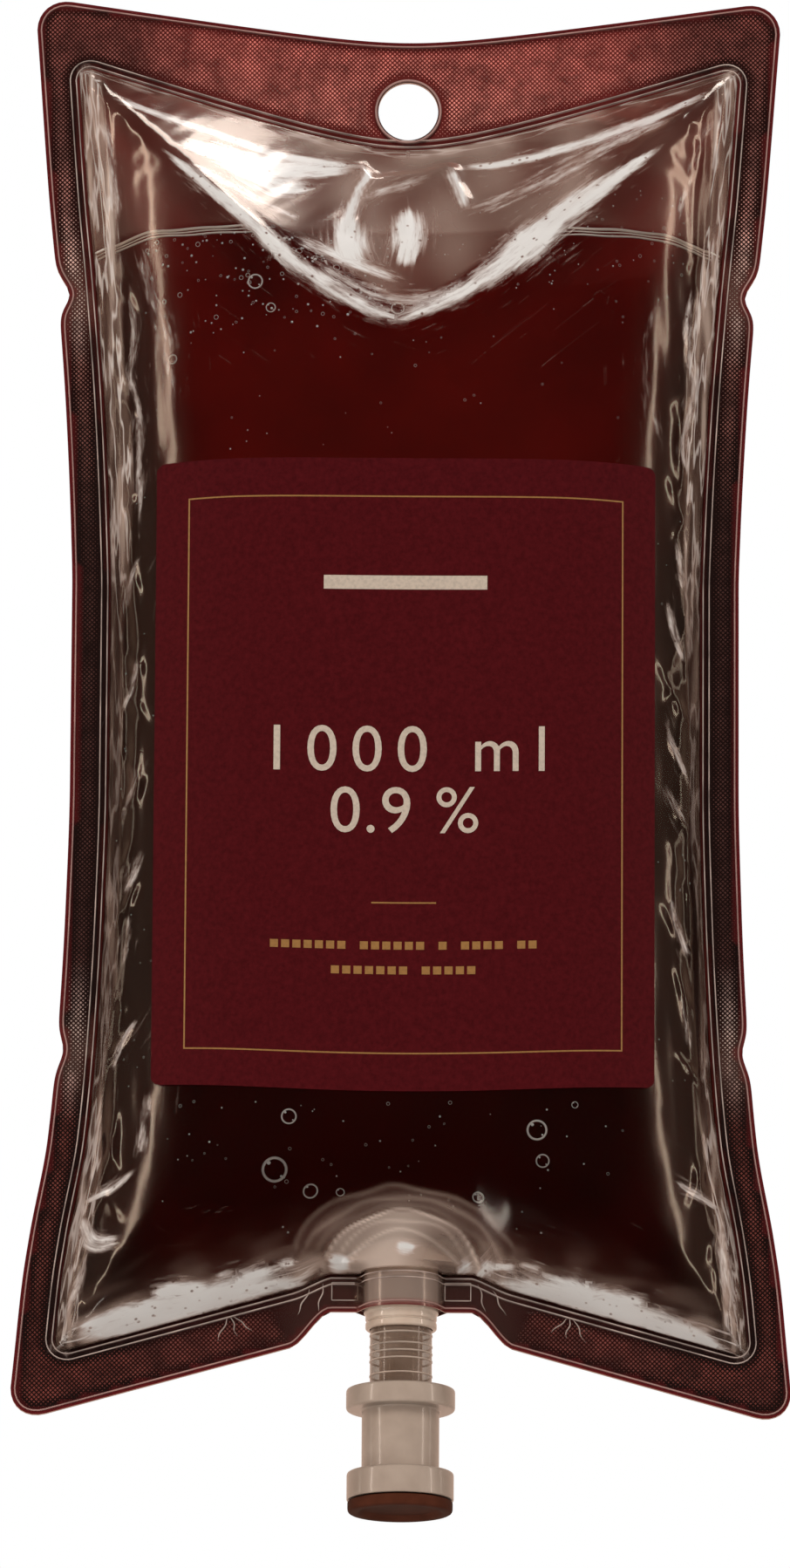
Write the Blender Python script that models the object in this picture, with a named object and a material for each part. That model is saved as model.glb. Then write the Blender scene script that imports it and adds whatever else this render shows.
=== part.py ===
"""A one-litre intravenous fluid bag, filled and hanging from the hole in its top seal.

Metres, +Z up, the front faces -Y, and the origin is the centre of the hanger hole.
Two clear film sheets are welded together round a pouch. The pouch holds the saline,
a paper label is stuck to the front, and the port hangs from the bottom seal.
"""

import math

import bmesh
import bpy
import numpy as np

# Film sheets
FILM_THICKNESS = 0.00035
SHEET_GAP = 0.0003
SHEET_CORNER_RADIUS = 0.0075
HANGER_HOLE_RADIUS = 0.0065
TAB_ABOVE_HOLE = 0.0090
TOP_EDGE_RISE = 0.0089
TOP_EDGE_REACH = 0.0736
TOP_EDGE_BEND = 0.22
HOLE_CUTTER_LENGTH = 0.0100

# Pouch between the welds
POUCH_BELOW_HOLE = 0.0021
POUCH_LENGTH = 0.2496
POUCH_DEPTH = 0.0240
POUCH_CORNER_RADIUS = 0.0035
POUCH_TOP_RISE = 0.0175
POUCH_TOP_REACH = 0.0680
POUCH_TOP_BEND = 0.25
WAIST_HALF_WIDTH = 0.0636
TOP_FLARE = 0.0084
TOP_FLARE_LENGTH = 0.1180
BOTTOM_FLARE = 0.0105
BOTTOM_FLARE_LENGTH = 0.1240
TOP_FACET_SLOPE = 0.55
TOP_FACET_FLARE = 1.4
BOTTOM_ROUNDING = 0.0440
CREASE_SOFTNESS = 0.0040
POUCH_FLATNESS = 1.55
SIDE_FULLNESS = 1.1
BOTTOM_FULLNESS = 1.12

# Welded border
SIDE_SEAL_WIDTH = 0.0083
BOTTOM_SEAL_WIDTH = 0.0122
BOTTOM_SEAL_STEP = 0.0012
BOTTOM_SEAL_SLOPE = 0.28
UPPER_NOTCH_HEIGHT = -0.0413
UPPER_NOTCH_DEPTH = 0.0025
LOWER_NOTCH_HEIGHT = -0.2110
LOWER_NOTCH_DEPTH = 0.0014
NOTCH_SPREAD = 0.0038

# Cut-out in the bottom seal round the port
PORT_FLAT_HALF_WIDTH = 0.0152
PORT_RELIEF_DEPTH = 0.0043
PORT_RELIEF_RUN = 0.0085

# Saline and label
LIQUID_HEIGHT = -0.0315
LIQUID_CLEARANCE = 0.0004
LABEL_HALF_WIDTH = 0.0536
LABEL_BELOW_POUCH_TOP = 0.0750
LABEL_ABOVE_POUCH_BOTTOM = 0.0380
LABEL_TOP_BOW = 0.0006
LABEL_BOTTOM_BOW = 0.0028
LABEL_CORNER_RADIUS = 0.0018
LABEL_THICKNESS = 0.0002
LABEL_CLEARANCE = 0.0004

# Port, from the boat in the weld down to the rubber septum
FIT_CLEARANCE = 0.0003
BOAT_HALF_WIDTH = 0.0155
BOAT_HEIGHT = 0.0065
BOAT_TIP_DEPTH = 0.0010
BOAT_ABOVE_SEAL = 0.0022
SLEEVE_RADIUS = 0.0080
SLEEVE_BELOW_SEAL = 0.0004
COLLAR_RADIUS = 0.0076
COLLAR_LENGTH = 0.0036
COLLAR_GROOVE = 0.0003
PORT_BORE_RADIUS = 0.0046
PORT_MOUTH_RADIUS = 0.0066
TUBE_RADIUS = 0.0066
TUBE_IN_SLEEVE = 0.0085
TUBE_EXPOSED = 0.0128
TUBE_IN_HOUSING = 0.0080
DIAPHRAGM_THICKNESS = 0.0008
DIAPHRAGM_DROP = 0.0130
FLANGE_RADIUS = 0.0116
FLANGE_THICKNESS = 0.0046
HOUSING_RADIUS = 0.00825
HOUSING_BODY_LENGTH = 0.0134
HOUSING_FOOT_RADIUS = 0.0096
HOUSING_FOOT_THICKNESS = 0.0011
RING_RADIUS = 0.0114
RING_HEIGHT = 0.0060
RING_TOP_WALL = 0.0012
RING_WALL = 0.0013
SEPTUM_RIM_RADIUS = 0.0112
SEPTUM_RIM_HEIGHT = 0.0024
SEPTUM_RIM_ROUNDING = 0.0014
SEPTUM_FACE_RADIUS = 0.0080
SEPTUM_RECESS = 0.0011
EDGE_ROUNDING = 0.0007

# Mesh fineness
ROUND_STEPS = 32
ROUNDING_STEPS = 2
HOLE_STEPS = 48
CORNER_STEPS = 3
HEIGHT_STEPS = 14
SIDE_COLUMNS = (0.22, 0.44, 0.66, 0.85, 0.965, 1.0)
SEAL_RINGS = (0.5, 1.0)
WRAP_ANGLES = (0.0, 36.0, 70.0)
RELIEF_STEPS = 3
LENS_STEPS = 8
NOTCH_ROWS = (-1.5, 0.0, 1.5)
LABEL_COLUMNS = 16
LABEL_ROWS = 6

# Heights that follow from the sizes above
SHEET_TOP = HANGER_HOLE_RADIUS + TAB_ABOVE_HOLE
POUCH_TOP = -HANGER_HOLE_RADIUS - POUCH_BELOW_HOLE
POUCH_BOTTOM = POUCH_TOP - POUCH_LENGTH
LABEL_TOP = POUCH_TOP - LABEL_BELOW_POUCH_TOP
LABEL_HEIGHT = LABEL_TOP - POUCH_BOTTOM - LABEL_ABOVE_POUCH_BOTTOM
PORT_SEAL_BOTTOM = POUCH_BOTTOM - BOTTOM_SEAL_WIDTH + PORT_RELIEF_DEPTH
BOAT_BOTTOM = POUCH_BOTTOM + BOAT_ABOVE_SEAL
BOAT_TOP = BOAT_BOTTOM + BOAT_HEIGHT
COLLAR_TOP = PORT_SEAL_BOTTOM - SLEEVE_BELOW_SEAL
COLLAR_BOTTOM = COLLAR_TOP - COLLAR_LENGTH
TUBE_TOP = COLLAR_BOTTOM + TUBE_IN_SLEEVE
FLANGE_TOP = COLLAR_BOTTOM - TUBE_EXPOSED
TUBE_BOTTOM = FLANGE_TOP - TUBE_IN_HOUSING
FLANGE_BOTTOM = FLANGE_TOP - FLANGE_THICKNESS
RING_TOP = FLANGE_BOTTOM - HOUSING_BODY_LENGTH
RING_BOTTOM = RING_TOP - RING_HEIGHT
FOOT_TOP = RING_TOP - RING_TOP_WALL - FIT_CLEARANCE
FOOT_BOTTOM = FOOT_TOP - HOUSING_FOOT_THICKNESS
SEPTUM_TOP = FOOT_BOTTOM - FIT_CLEARANCE
SEPTUM_RIM_TOP = RING_BOTTOM - FIT_CLEARANCE
SEPTUM_BOTTOM = SEPTUM_RIM_TOP - SEPTUM_RIM_HEIGHT
SOCKET_RADIUS = TUBE_RADIUS + FIT_CLEARANCE

# Share of each corner flare that is left, from the corner to the waist
TOP_FLARE_SHAPE = (
    (0.0, 1.0),
    (0.25, 0.72),
    (0.42, 0.48),
    (0.66, 0.21),
    (0.9, 0.04),
    (1.0, 0.0),
)
BOTTOM_FLARE_SHAPE = (
    (0.0, 1.0),
    (0.13, 0.85),
    (0.21, 0.71),
    (0.37, 0.37),
    (0.55, 0.19),
    (0.78, 0.06),
    (1.0, 0.0),
)


def remove_startup_objects():
    for thing in list(bpy.data.objects):
        bpy.data.objects.remove(thing, do_unlink=True)


def plastic(name, colour, roughness, transmission=0.0):
    """A plain Principled material for one piece."""
    material = bpy.data.materials.new(name)
    material.use_nodes = True
    shader = material.node_tree.nodes["Principled BSDF"]
    shader.inputs["Base Color"].default_value = (*colour, 1.0)
    shader.inputs["Roughness"].default_value = roughness
    shader.inputs["Metallic"].default_value = 0.0
    shader.inputs["Transmission Weight"].default_value = transmission
    return material


def add_object(name, mesh_data, material):
    """Turns a bmesh into a named object with its faces pointing out."""
    bmesh.ops.recalc_face_normals(mesh_data, faces=mesh_data.faces)
    mesh = bpy.data.meshes.new(name)
    mesh_data.to_mesh(mesh)
    mesh_data.free()
    mesh.shade_smooth()
    mesh.set_sharp_from_angle(angle=math.radians(35))
    piece = bpy.data.objects.new(name, mesh)
    bpy.context.scene.collection.objects.link(piece)
    if material:
        mesh.materials.append(material)
    return piece


def hide_cutter(cutter):
    cutter.hide_render = True
    cutter.display_type = "WIRE"


def combine(piece, other, operation):
    """Adds a Boolean modifier that joins or cuts with a hidden object."""
    hide_cutter(other)
    modifier = piece.modifiers.new(other.name, "BOOLEAN")
    modifier.operation = operation
    modifier.solver = "EXACT"
    modifier.object = other


# Outline of the sheets and of the pouch
def smooth_step(value):
    """0 below 0, 1 above 1, and a smooth rise between."""
    clipped = np.clip(value, 0.0, 1.0)
    return clipped * clipped * (3.0 - 2.0 * clipped)


def through_points(points, value):
    """A smooth monotone curve through points, carried on straight past its first one."""
    xs = np.array([point[0] for point in points])
    ys = np.array([point[1] for point in points])
    steps = np.diff(ys) / np.diff(xs)
    slopes = np.zeros(len(xs))
    slopes[0] = steps[0]
    slopes[1:-1] = 2.0 * steps[1:] * steps[:-1] / (steps[1:] + steps[:-1])
    value = np.asarray(value, dtype=float)
    inside = np.clip(value, xs[0], xs[-1])
    index = np.clip(np.searchsorted(xs, inside, side="right") - 1, 0, len(xs) - 2)
    span = xs[index + 1] - xs[index]
    t = (inside - xs[index]) / span
    start = (1.0 + 2.0 * t) * ys[index] + t * span * slopes[index]
    end = (3.0 - 2.0 * t) * ys[index + 1] + (t - 1.0) * span * slopes[index + 1]
    straight = np.minimum(value - xs[0], 0.0) * slopes[0]
    return (1.0 - t) ** 2 * start + t**2 * end + straight


def hanging_curve(x, reach, rise, bend):
    """Height above the middle of an edge that is held at its corners and sags between them."""
    end = math.hypot(bend, 1.0) - bend
    return rise * (np.hypot(bend, x / reach) - bend) / end


def pouch_top(x):
    return POUCH_TOP + hanging_curve(x, POUCH_TOP_REACH, POUCH_TOP_RISE, POUCH_TOP_BEND)


def sheet_top(x):
    return SHEET_TOP + hanging_curve(x, TOP_EDGE_REACH, TOP_EDGE_RISE, TOP_EDGE_BEND)


def pouch_bottom(x):
    beyond_port = np.maximum(np.abs(x) - PORT_FLAT_HALF_WIDTH, 0.0)
    step = BOTTOM_SEAL_STEP * smooth_step(beyond_port / PORT_RELIEF_RUN)
    return POUCH_BOTTOM - step - BOTTOM_SEAL_SLOPE * beyond_port


def sheet_bottom(x):
    beyond_port = np.maximum(np.abs(x) - PORT_FLAT_HALF_WIDTH, 0.0)
    relief = PORT_RELIEF_DEPTH * (1.0 - smooth_step(beyond_port / PORT_RELIEF_RUN))
    return pouch_bottom(x) - BOTTOM_SEAL_WIDTH + relief


def pouch_half_width(z):
    """Half the width of the pouch at a height: a waist that flares to the four corners."""
    corner_top = pouch_top(WAIST_HALF_WIDTH + TOP_FLARE)
    corner_bottom = pouch_bottom(WAIST_HALF_WIDTH + BOTTOM_FLARE)
    top_share = through_points(TOP_FLARE_SHAPE, (corner_top - z) / TOP_FLARE_LENGTH)
    bottom_share = through_points(BOTTOM_FLARE_SHAPE, (z - corner_bottom) / BOTTOM_FLARE_LENGTH)
    return WAIST_HALF_WIDTH + TOP_FLARE * top_share + BOTTOM_FLARE * bottom_share


def sheet_half_width(z):
    """Half the width of the sheets, which are pinched in by a notch at two heights."""
    upper = UPPER_NOTCH_DEPTH * np.exp(-(((z - UPPER_NOTCH_HEIGHT) / NOTCH_SPREAD) ** 2))
    lower = LOWER_NOTCH_DEPTH * np.exp(-(((z - LOWER_NOTCH_HEIGHT) / NOTCH_SPREAD) ** 2))
    return pouch_half_width(z) + SIDE_SEAL_WIDTH - upper - lower


# How far the filled pouch stands out from the middle plane
def soft_min(first, second, softness):
    """The lesser of two depths, rounded where they meet. The rounding fades out at the weld."""
    reach = np.clip(first + second, 0.01 * softness, softness)
    overlap = np.maximum(reach - np.abs(first - second), 0.0)
    return np.minimum(first, second) - overlap**2 / (4.0 * reach)


def arched(share, fullness):
    """An arch that is 1 at share 0 and 0 at share 1, with a finite slope at its foot."""
    foot = math.sqrt(fullness**2 - 1.0)
    return (np.sqrt(fullness**2 - np.clip(share, 0.0, 1.0) ** 2) - foot) / (fullness - foot)


def wrap_radius():
    """Radius of the film's corners round the sleeve, so that its flats clear the sleeve."""
    return (SLEEVE_RADIUS + FIT_CLEARANCE) / math.cos(math.radians(WRAP_ANGLES[1] / 2.0))


def port_cover(x, z):
    """Half the depth that the film needs to pass round the sleeve and the boat."""
    wrap = np.sqrt(np.maximum(wrap_radius() ** 2 - x**2, 0.0))
    boat = boat_half_depth(x) + 2.0 * FIT_CLEARANCE
    boat = np.where(np.abs(x) < BOAT_HALF_WIDTH + FIT_CLEARANCE, boat, 0.0)
    boat_share = smooth_step((z - POUCH_BOTTOM) / BOAT_ABOVE_SEAL)
    fade = 1.0 - smooth_step((z - BOAT_TOP) / BOAT_HEIGHT)
    return (wrap + (np.maximum(boat, wrap) - wrap) * boat_share) * fade


def boat_half_depth(x):
    share = np.clip(np.abs(x) / BOAT_HALF_WIDTH, 0.0, 1.0)
    return BOAT_TIP_DEPTH + (SLEEVE_RADIUS - BOAT_TIP_DEPTH) * (1.0 - share**2)


def pouch_depth(x, z):
    """Half the depth of the filled pouch at a point of the middle plane."""
    share = np.abs(x) / pouch_half_width(z)
    across = POUCH_DEPTH * arched(share**POUCH_FLATNESS, SIDE_FULLNESS)
    facet_slope = TOP_FACET_SLOPE * (1.0 + TOP_FACET_FLARE * share**2)
    facet = facet_slope * np.maximum(pouch_top(x) - z, 0.0)
    up_share = (z - pouch_bottom(x)) / BOTTOM_ROUNDING
    rounding = POUCH_DEPTH * arched(1.0 - up_share, BOTTOM_FULLNESS)
    pillow = soft_min(soft_min(across, facet, CREASE_SOFTNESS), rounding, CREASE_SOFTNESS)
    return np.maximum(np.maximum(pillow, 0.0), port_cover(x, z))


# Grid of the sheets: columns from side to side and rows from top to bottom
def half_columns():
    """Places of the columns near the port, from the middle to the end of the cut-out."""
    radius = wrap_radius()
    near = [radius * math.sin(math.radians(angle)) for angle in WRAP_ANGLES]
    near.append(radius + 4.0 * FIT_CLEARANCE)
    run_step = PORT_RELIEF_RUN / RELIEF_STEPS
    relief = [PORT_FLAT_HALF_WIDTH + run_step * step for step in range(RELIEF_STEPS + 1)]
    return near + relief


def column_places(half_width):
    """The x of every column in a row of this half width."""
    near = half_columns()
    beyond = half_width - near[-1]
    far = [near[-1] + share * beyond for share in SIDE_COLUMNS]
    right = near + far
    left = [-x for x in reversed(right[1:])]
    return np.array(left + right)


def row_shares():
    """Shares of the way down the side, closer together at both ends and at the notches."""
    spaced = (1.0 - np.cos(np.pi * np.arange(HEIGHT_STEPS + 1) / HEIGHT_STEPS)) / 2.0
    top = side_height(0.0)
    length = top - side_height(1.0)
    notch_shares = []
    for height in (UPPER_NOTCH_HEIGHT, LOWER_NOTCH_HEIGHT):
        for offset in NOTCH_ROWS:
            notch_shares.append((top - height - offset * NOTCH_SPREAD) / length)
    reach = NOTCH_SPREAD / length
    kept = [share for share in spaced if np.min(np.abs(share - np.array(notch_shares))) > reach]
    return sorted(kept + notch_shares)


def side_height(share):
    """Height on the sheet's side edge at a share of the way between its rounded corners."""
    top = sheet_top(pouch_half_width(0.0)) - SHEET_CORNER_RADIUS
    bottom = sheet_bottom(pouch_half_width(POUCH_BOTTOM)) + SHEET_CORNER_RADIUS
    return top + (bottom - top) * share


def frame_rows(top_of, bottom_of, half_width_of, radius):
    """Rows of points inside one rounded outline, as x and z arrays of rows by columns."""
    corner_x = half_width_of(POUCH_TOP)
    corner_top = top_of(corner_x) - radius
    corner_bottom = bottom_of(half_width_of(POUCH_BOTTOM)) + radius
    rows_x = []
    rows_z = []
    for step in range(CORNER_STEPS):
        angle = 0.5 * math.pi * step / CORNER_STEPS
        xs = column_places(half_width_of(corner_top) - radius * (1.0 - math.sin(angle)))
        rows_x.append(xs)
        rows_z.append(top_of(xs) - radius * (1.0 - math.cos(angle)))
    for share in row_shares():
        side_z = corner_top + (corner_bottom - corner_top) * share
        xs = column_places(half_width_of(side_z))
        upper = top_of(xs) - radius
        lower = bottom_of(xs) + radius
        rows_x.append(xs)
        rows_z.append(upper + (lower - upper) * share)
    for step in reversed(range(CORNER_STEPS)):
        angle = 0.5 * math.pi * step / CORNER_STEPS
        xs = column_places(half_width_of(corner_bottom) - radius * (1.0 - math.sin(angle)))
        rows_x.append(xs)
        rows_z.append(bottom_of(xs) + radius * (1.0 - math.cos(angle)))
    return np.array(rows_x), np.array(rows_z)


def rim_indices(rows, columns):
    """Grid places of the rim, once round, starting at the top left corner."""
    top = [(0, column) for column in range(columns)]
    right = [(row, columns - 1) for row in range(1, rows)]
    bottom = [(rows - 1, column) for column in range(columns - 2, -1, -1)]
    left = [(row, 0) for row in range(rows - 2, 0, -1)]
    return top + right + bottom + left


def pouch_grid():
    """The pouch's points and their depths. The depth is nothing along the weld, save at the port."""
    xs, zs = frame_rows(pouch_top, pouch_bottom, pouch_half_width, POUCH_CORNER_RADIUS)
    depths = pouch_depth(xs, zs)
    for row, column in rim_indices(*xs.shape):
        depths[row, column] = port_cover(xs[row, column], zs[row, column])
    return xs, zs, depths


def add_pillow_face(mesh, xs, ys, zs, depths):
    """Triangles over a grid of points. Each cell is split along its fuller diagonal, so that
    the film and the saline under it are split alike."""
    grid = np.empty(xs.shape, dtype=object)
    for place in np.ndindex(xs.shape):
        grid[place] = mesh.verts.new((xs[place], ys[place], zs[place]))
    for row in range(xs.shape[0] - 1):
        for column in range(xs.shape[1] - 1):
            upper_left, upper_right = grid[row, column : column + 2]
            lower_left, lower_right = grid[row + 1, column : column + 2]
            falling = depths[row, column] + depths[row + 1, column + 1]
            rising = depths[row, column + 1] + depths[row + 1, column]
            if falling > rising:
                mesh.faces.new((upper_left, lower_left, lower_right))
                mesh.faces.new((upper_left, lower_right, upper_right))
            else:
                mesh.faces.new((upper_left, lower_left, upper_right))
                mesh.faces.new((upper_right, lower_left, lower_right))
    return grid


# Film sheets
def make_film(name, side, material):
    """One sheet, from its inner face. side is -1 for the front and 1 for the back."""
    xs, zs, depths = pouch_grid()
    edge_xs, edge_zs = frame_rows(sheet_top, sheet_bottom, sheet_half_width, SHEET_CORNER_RADIUS)
    mesh = bmesh.new()
    grid = add_pillow_face(mesh, xs, side * (SHEET_GAP / 2.0 + depths), zs, depths)
    rim = rim_indices(*xs.shape)
    inner = [grid[place] for place in rim]
    for share in SEAL_RINGS:
        outer = []
        for row, column in rim:
            x = xs[row, column] + share * (edge_xs[row, column] - xs[row, column])
            z = zs[row, column] + share * (edge_zs[row, column] - zs[row, column])
            y = side * (SHEET_GAP / 2.0 + port_cover(x, z))
            outer.append(mesh.verts.new((x, y, z)))
        for index in range(len(rim)):
            following = (index + 1) % len(rim)
            mesh.faces.new((inner[index], inner[following], outer[following], outer[index]))
        inner = outer
    film = add_object(name, mesh, material)
    if film.data.polygons[0].normal.y * side < 0.0:
        film.data.flip_normals()
    thicken = film.modifiers.new("film_thickness", "SOLIDIFY")
    thicken.thickness = FILM_THICKNESS
    thicken.offset = 1.0
    thicken.use_even_offset = True
    return film


def make_hanger_hole_cutter():
    mesh = bmesh.new()
    bmesh.ops.create_cone(
        mesh,
        cap_ends=True,
        segments=HOLE_STEPS,
        radius1=HANGER_HOLE_RADIUS,
        radius2=HANGER_HOLE_RADIUS,
        depth=HOLE_CUTTER_LENGTH,
    )
    cutter = add_object("hanger_hole_cutter", mesh, None)
    cutter.rotation_euler = (math.pi / 2.0, 0.0, 0.0)
    return cutter


def make_films():
    front = make_film("front_film", -1, plastic("clear_film", (0.62, 0.52, 0.50), 0.12, 0.9))
    back = make_film("back_film", 1, plastic("wine_film", (0.16, 0.02, 0.02), 0.2, 0.3))
    cutter = make_hanger_hole_cutter()
    combine(front, cutter, "DIFFERENCE")
    combine(back, cutter, "DIFFERENCE")


# Saline, up to its level line
def make_saline():
    xs, zs, depths = pouch_grid()
    xs = xs[1:-1, 1:-1]
    zs = zs[1:-1, 1:-1]
    depths = depths[1:-1, 1:-1]
    slope_x = np.gradient(depths, axis=1) / np.gradient(xs, axis=1)
    slope_z = np.gradient(depths, axis=0) / np.gradient(zs, axis=0)
    steepness = np.sqrt(1.0 + slope_x**2 + slope_z**2)
    inner_face = depths + SHEET_GAP / 2.0
    liquid_depths = np.maximum(inner_face - LIQUID_CLEARANCE * steepness, SHEET_GAP / 4.0)
    mesh = bmesh.new()
    sides = [add_pillow_face(mesh, xs, side * liquid_depths, zs, depths) for side in (-1, 1)]
    rim = rim_indices(*xs.shape)
    for index in range(len(rim)):
        here = rim[index]
        there = rim[(index + 1) % len(rim)]
        mesh.faces.new((sides[0][here], sides[0][there], sides[1][there], sides[1][here]))
    cut = bmesh.ops.bisect_plane(
        mesh,
        geom=mesh.verts[:] + mesh.edges[:] + mesh.faces[:],
        plane_co=(0.0, 0.0, LIQUID_HEIGHT),
        plane_no=(0.0, 0.0, 1.0),
        clear_outer=True,
    )
    edges = [item for item in cut["geom_cut"] if isinstance(item, bmesh.types.BMEdge)]
    bmesh.ops.edgeloop_fill(mesh, edges=edges)
    saline = add_object("saline", mesh, plastic("saline", (0.28, 0.04, 0.04), 0.02, 0.9))
    space_top = BOAT_TOP + FIT_CLEARANCE
    cutter = make_lens_prism("boat_space_cutter", FIT_CLEARANCE, space_top, PORT_SEAL_BOTTOM)
    combine(saline, cutter, "DIFFERENCE")


# Label on the front
def make_label():
    """A thin sheet that follows the front film and has rounded corners."""
    angles = [0.5 * math.pi * step / CORNER_STEPS for step in range(CORNER_STEPS)]
    corner = [LABEL_CORNER_RADIUS * (1.0 - math.cos(angle)) for angle in angles]
    middle = np.linspace(LABEL_CORNER_RADIUS, LABEL_HEIGHT - LABEL_CORNER_RADIUS, LABEL_ROWS + 1)
    downs = corner + list(middle) + [LABEL_HEIGHT - down for down in reversed(corner)]
    mesh = bmesh.new()
    layers = []
    for lift in (LABEL_CLEARANCE, LABEL_CLEARANCE + LABEL_THICKNESS):
        grid = []
        for down in downs:
            from_end = max(LABEL_CORNER_RADIUS - min(down, LABEL_HEIGHT - down), 0.0)
            pull_in = LABEL_CORNER_RADIUS - math.sqrt(LABEL_CORNER_RADIUS**2 - from_end**2)
            xs = np.linspace(-1.0, 1.0, LABEL_COLUMNS + 1) * (LABEL_HALF_WIDTH - pull_in)
            share = down / LABEL_HEIGHT
            bow = LABEL_TOP_BOW * (1.0 - share) + LABEL_BOTTOM_BOW * share
            zs = LABEL_TOP - down - bow * (1.0 - (xs / LABEL_HALF_WIDTH) ** 2)
            lean = film_front_tilt(xs, zs)
            ys = film_front(xs, zs) - lift * lean
            grid.append([mesh.verts.new(point) for point in zip(xs, ys, zs, strict=True)])
        layers.append(grid)
    for grid in layers:
        for upper, lower in zip(grid[:-1], grid[1:], strict=True):
            for column in range(LABEL_COLUMNS):
                mesh.faces.new((upper[column], lower[column], lower[column + 1], upper[column + 1]))
    rim = rim_indices(len(downs), LABEL_COLUMNS + 1)
    for index in range(len(rim)):
        row, column = rim[index]
        next_row, next_column = rim[(index + 1) % len(rim)]
        mesh.faces.new(
            (
                layers[0][row][column],
                layers[0][next_row][next_column],
                layers[1][next_row][next_column],
                layers[1][row][column],
            )
        )
    add_object("label", mesh, plastic("label_paper", (0.080, 0.006, 0.010), 0.55))


def film_front(xs, zs):
    """The y of the front sheet's outer face."""
    return -(SHEET_GAP / 2.0 + pouch_depth(xs, zs) + FILM_THICKNESS * film_front_tilt(xs, zs))


def film_front_tilt(xs, zs):
    """How much longer a step along Y is than the same step square to the film."""
    step = SHEET_GAP
    across = (pouch_depth(xs + step, zs) - pouch_depth(xs - step, zs)) / (2.0 * step)
    down = (pouch_depth(xs, zs + step) - pouch_depth(xs, zs - step)) / (2.0 * step)
    return np.sqrt(1.0 + across**2 + down**2)


# Port pieces, turned about the Z axis
def turn(name, profile, material):
    """A solid turned from a closed profile of (radius, height) points."""
    mesh = bmesh.new()
    points = [mesh.verts.new((radius, 0.0, height)) for radius, height in profile]
    edges = []
    for index in range(len(points)):
        start = points[index]
        end = points[(index + 1) % len(points)]
        if start.co.x > 0.0 or end.co.x > 0.0:
            edges.append(mesh.edges.new((start, end)))
    bmesh.ops.spin(
        mesh,
        geom=points + edges,
        cent=(0.0, 0.0, 0.0),
        axis=(0.0, 0.0, 1.0),
        angle=2.0 * math.pi,
        steps=ROUND_STEPS,
        use_merge=True,
    )
    bmesh.ops.remove_doubles(mesh, verts=mesh.verts[:], dist=1e-6)
    return add_object(name, mesh, material)


def rounded_top(radius, height, size):
    """A quarter round at the top of a turned piece's outer wall, as points that run down."""
    points = []
    for step in range(ROUNDING_STEPS + 1):
        angle = 0.5 * math.pi * step / ROUNDING_STEPS
        points.append((radius - size * (1.0 - math.sin(angle)), height - size * (1.0 - math.cos(angle))))
    return points


def rounded_bottom(radius, height, size):
    """The same quarter round at the bottom of the wall."""
    return [(x, 2.0 * height - z) for x, z in reversed(rounded_top(radius, height, size))]


def make_lens_prism(name, clearance, top, bottom):
    """The boat's lens-shaped block between two heights, larger all round by a clearance."""
    mesh = bmesh.new()
    reach = BOAT_HALF_WIDTH + clearance
    front = []
    back = []
    for step in range(LENS_STEPS + 1):
        x = reach * (2.0 * step / LENS_STEPS - 1.0)
        depth = boat_half_depth(x * BOAT_HALF_WIDTH / reach) + clearance
        front.append((x, -depth))
        back.append((x, depth))
    outline = front + back[::-1]
    upper = [mesh.verts.new((x, y, top)) for x, y in outline]
    lower = [mesh.verts.new((x, y, bottom)) for x, y in outline]
    mesh.faces.new(upper)
    mesh.faces.new(lower)
    for index in range(len(outline)):
        following = (index + 1) % len(outline)
        mesh.faces.new((upper[index], upper[following], lower[following], lower[index]))
    return add_object(name, mesh, None)


def make_port_boat(material):
    """The boat that is welded between the sheets, with the outer sleeve and its beaded collar."""
    groove_radius = COLLAR_RADIUS - COLLAR_GROOVE
    bead = COLLAR_LENGTH / 2.0
    bead_top = COLLAR_TOP - COLLAR_GROOVE
    profile = [(0.0, BOAT_TOP), (PORT_MOUTH_RADIUS, BOAT_TOP), (SLEEVE_RADIUS, BOAT_BOTTOM)]
    profile += [(SLEEVE_RADIUS, COLLAR_TOP), (COLLAR_RADIUS, bead_top)]
    profile += [(COLLAR_RADIUS, bead_top - bead + 2.0 * COLLAR_GROOVE)]
    profile += [(groove_radius, bead_top - bead + COLLAR_GROOVE)]
    profile += [(COLLAR_RADIUS, bead_top - bead)]
    profile += [(COLLAR_RADIUS, COLLAR_BOTTOM + COLLAR_GROOVE)]
    profile += [(groove_radius, COLLAR_BOTTOM), (0.0, COLLAR_BOTTOM)]
    boat = turn("port_boat", profile, material)
    lens = make_lens_prism("boat_lens", 0.0, BOAT_TOP, BOAT_BOTTOM)
    combine(boat, lens, "UNION")
    above = BOAT_TOP + BOAT_HEIGHT
    below = COLLAR_BOTTOM - COLLAR_LENGTH
    socket_top = TUBE_TOP + FIT_CLEARANCE
    bore = [(0.0, above), (PORT_BORE_RADIUS, above), (PORT_BORE_RADIUS, socket_top)]
    bore += [(SOCKET_RADIUS, socket_top), (SOCKET_RADIUS, below), (0.0, below)]
    combine(boat, turn("boat_bore_cutter", bore, None), "DIFFERENCE")


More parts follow.
